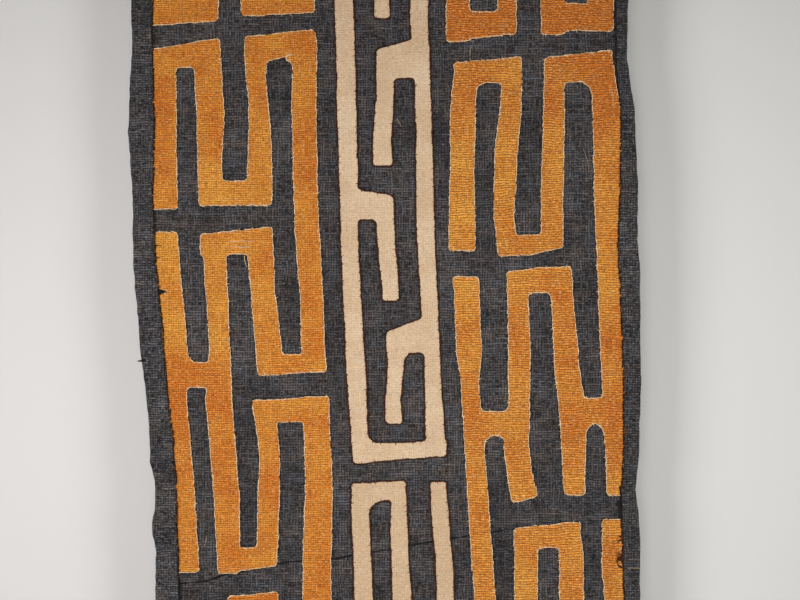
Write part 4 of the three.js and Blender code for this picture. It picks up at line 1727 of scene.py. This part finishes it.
SMOOTH_PIECES = ("orange_left", "orange_top_a", "orange_top_b", "orange_foot_a")
CREAM_PIECES = (
    CutPiece("cream_frame", CREAM_FRAME, 300, Slot.CREAM),
    CutPiece("cream_foot_a", CREAM_FOOT_A, 310, Slot.CREAM),
    CutPiece("cream_foot_b", CREAM_FOOT_B, 320, Slot.CREAM),
)

# Rows of sewing round the orange pieces, round the cream ones, on the strips and on the ground's join. Some
# of the dark rows also carry painted shadow, as noted at each.
PALE_SEWING = (
    EdgeSewing(
        "pale_edge_thread", Lie.ALONG, pitch=3.0, length=4.2, radius=0.47, slant=0.4, heights=(2.0, 1.75),
        skip=0.05, seed=5, shift=0.15, bare=LEFT_BITES + FOOT_BITES,
    ),
    EdgeSewing(
        "pale_edge_ticks", Lie.ACROSS, pitch=8.0, length=3.4, radius=0.34, slant=1.2, heights=(2.05, 0.8),
        skip=0.45, seed=15,
    ),
    EdgeSewing(
        "pale_back_stitches", Lie.ALONG, pitch=7.5, length=2.2, radius=0.30, slant=0.8,
        heights=(-0.62, -0.62), skip=0.1, seed=35, shift=0.4, arch=-0.15,
    ),
)
DARK_SEWING = (
    # The dark edge thread is drawn wider than the thread itself, to take in the painted contact shadow
    # beside the cream pieces.
    EdgeSewing(
        "dark_edge_thread_and_shade", Lie.ALONG, pitch=3.0, length=4.6, radius=0.85, slant=0.3, heights=(1.6, 1.2),
        skip=0.0, seed=6, shift=0.45,
    ),
    EdgeSewing(
        "dark_edge_ticks", Lie.ACROSS, pitch=8.5, length=3.0, radius=0.30, slant=1.4, heights=(2.1, 0.9),
        skip=0.45, seed=16, shift=-0.4,
    ),
    EdgeSewing(
        "dark_back_stitches", Lie.ALONG, pitch=7.0, length=2.4, radius=0.32, slant=0.8,
        heights=(-0.62, -0.62), skip=0.1, seed=36, shift=0.4, arch=-0.15,
    ),
)
# A continuous dark line along the strips' inner edges: partly seam thread, partly the painted shadow of the
# gap under the strip's edge.
SEAM_AND_GAP_SHADE_LINE = EdgeSewing(
    "strip_seam_and_gap_shade", Lie.ALONG, pitch=4.0, length=4.6, radius=0.80, slant=0.5, heights=(2.5, 2.0),
    skip=0.04, seed=26, shift=0.8, closed=False,
)
SEAM_TICKS = EdgeSewing(
    "strip_seam_ticks", Lie.ACROSS, pitch=9.0, length=3.2, radius=0.28, slant=1.6, heights=(3.8, 2.4),
    skip=0.6, seed=27, shift=0.6, closed=False,
)
# Thick black thread along the ground's join: partly stitches, partly the painted shadow under the upper
# panel's fold.
JOIN_SEWING_AND_SHADE = EdgeSewing(
    "join_thread_and_shade", Lie.ALONG, pitch=4.0, length=4.8, radius=0.90, slant=0.6, heights=(0.35, 0.2),
    skip=0.12, seed=28, shift=0.6, closed=False,
)


def seam_lines() -> list[np.ndarray]:
    """Reads the inner edges of both strips, the left one upwards and the right one downwards.

    Returns:
        For each strip, the places of its edge as x and d.
    """
    depths = np.arange(TOP + 6, BOTTOM - 6, 4.0)
    left, right = (np.stack([side.edges(depths)[1], depths], axis=1) for side in SIDE_STRIPS)
    return [left[::-1], right]


def main() -> None:
    """Builds the studio, the cloth and its sewing."""
    Studio().build()
    weave, dye = PlainWeave(), UnevenDye()
    finishes = (GROUND_FINISH, STRIP_FINISH, ORANGE_FINISH, RIBBED_FINISH, CREAM_FINISH)
    ground, strip, orange, ribbed, cream = (finish.material(weave, dye) for finish in finishes)
    sewing_threads = (PALE_THREAD, DARK_THREAD, BLACK_THREAD, SEAM_AND_GAP_SHADE_THREAD)
    pale, dark, black, seam = (thread.material() for thread in sewing_threads)
    panels = [panel.name for panel in GroundPanels().build(ground)]
    for side in SIDE_STRIPS:
        side.build(strip, panels)
    loops = []
    for piece in ORANGE_PIECES:
        loops += piece.build(orange if piece.name in SMOOTH_PIECES else ribbed)[1]
    for row in PALE_SEWING:
        row.build(loops, pale, Slot.CREAM)
    loops = []
    for piece in CREAM_PIECES:
        loops += piece.build(cream)[1]
    for row in DARK_SEWING:
        row.build(loops, dark, Slot.STRIP)
    SEAM_AND_GAP_SHADE_LINE.build(seam_lines(), seam, Slot.STRIP)
    SEAM_TICKS.build(seam_lines(), black, Slot.STRIP)
    JOIN_SEWING_AND_SHADE.build([np.array(GROUND_JOIN[1:-2], dtype=float)], black, Slot.STRIP)
    LooseThreads("pale_loose_threads", PALE_WISPS).build(pale, Slot.CREAM)
    LooseThreads("frayed_edge_threads", FRAY_WISPS).build(dark, Slot.STRIP)
    LooseThreads("dark_loose_threads_and_gap_shade", DARK_WISPS_AND_GAP_SHADE).build(black, Slot.STRIP)
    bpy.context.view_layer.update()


if __name__ == "__main__":
    logging.basicConfig(level=logging.INFO, format="%(name)s: %(message)s")
    main()
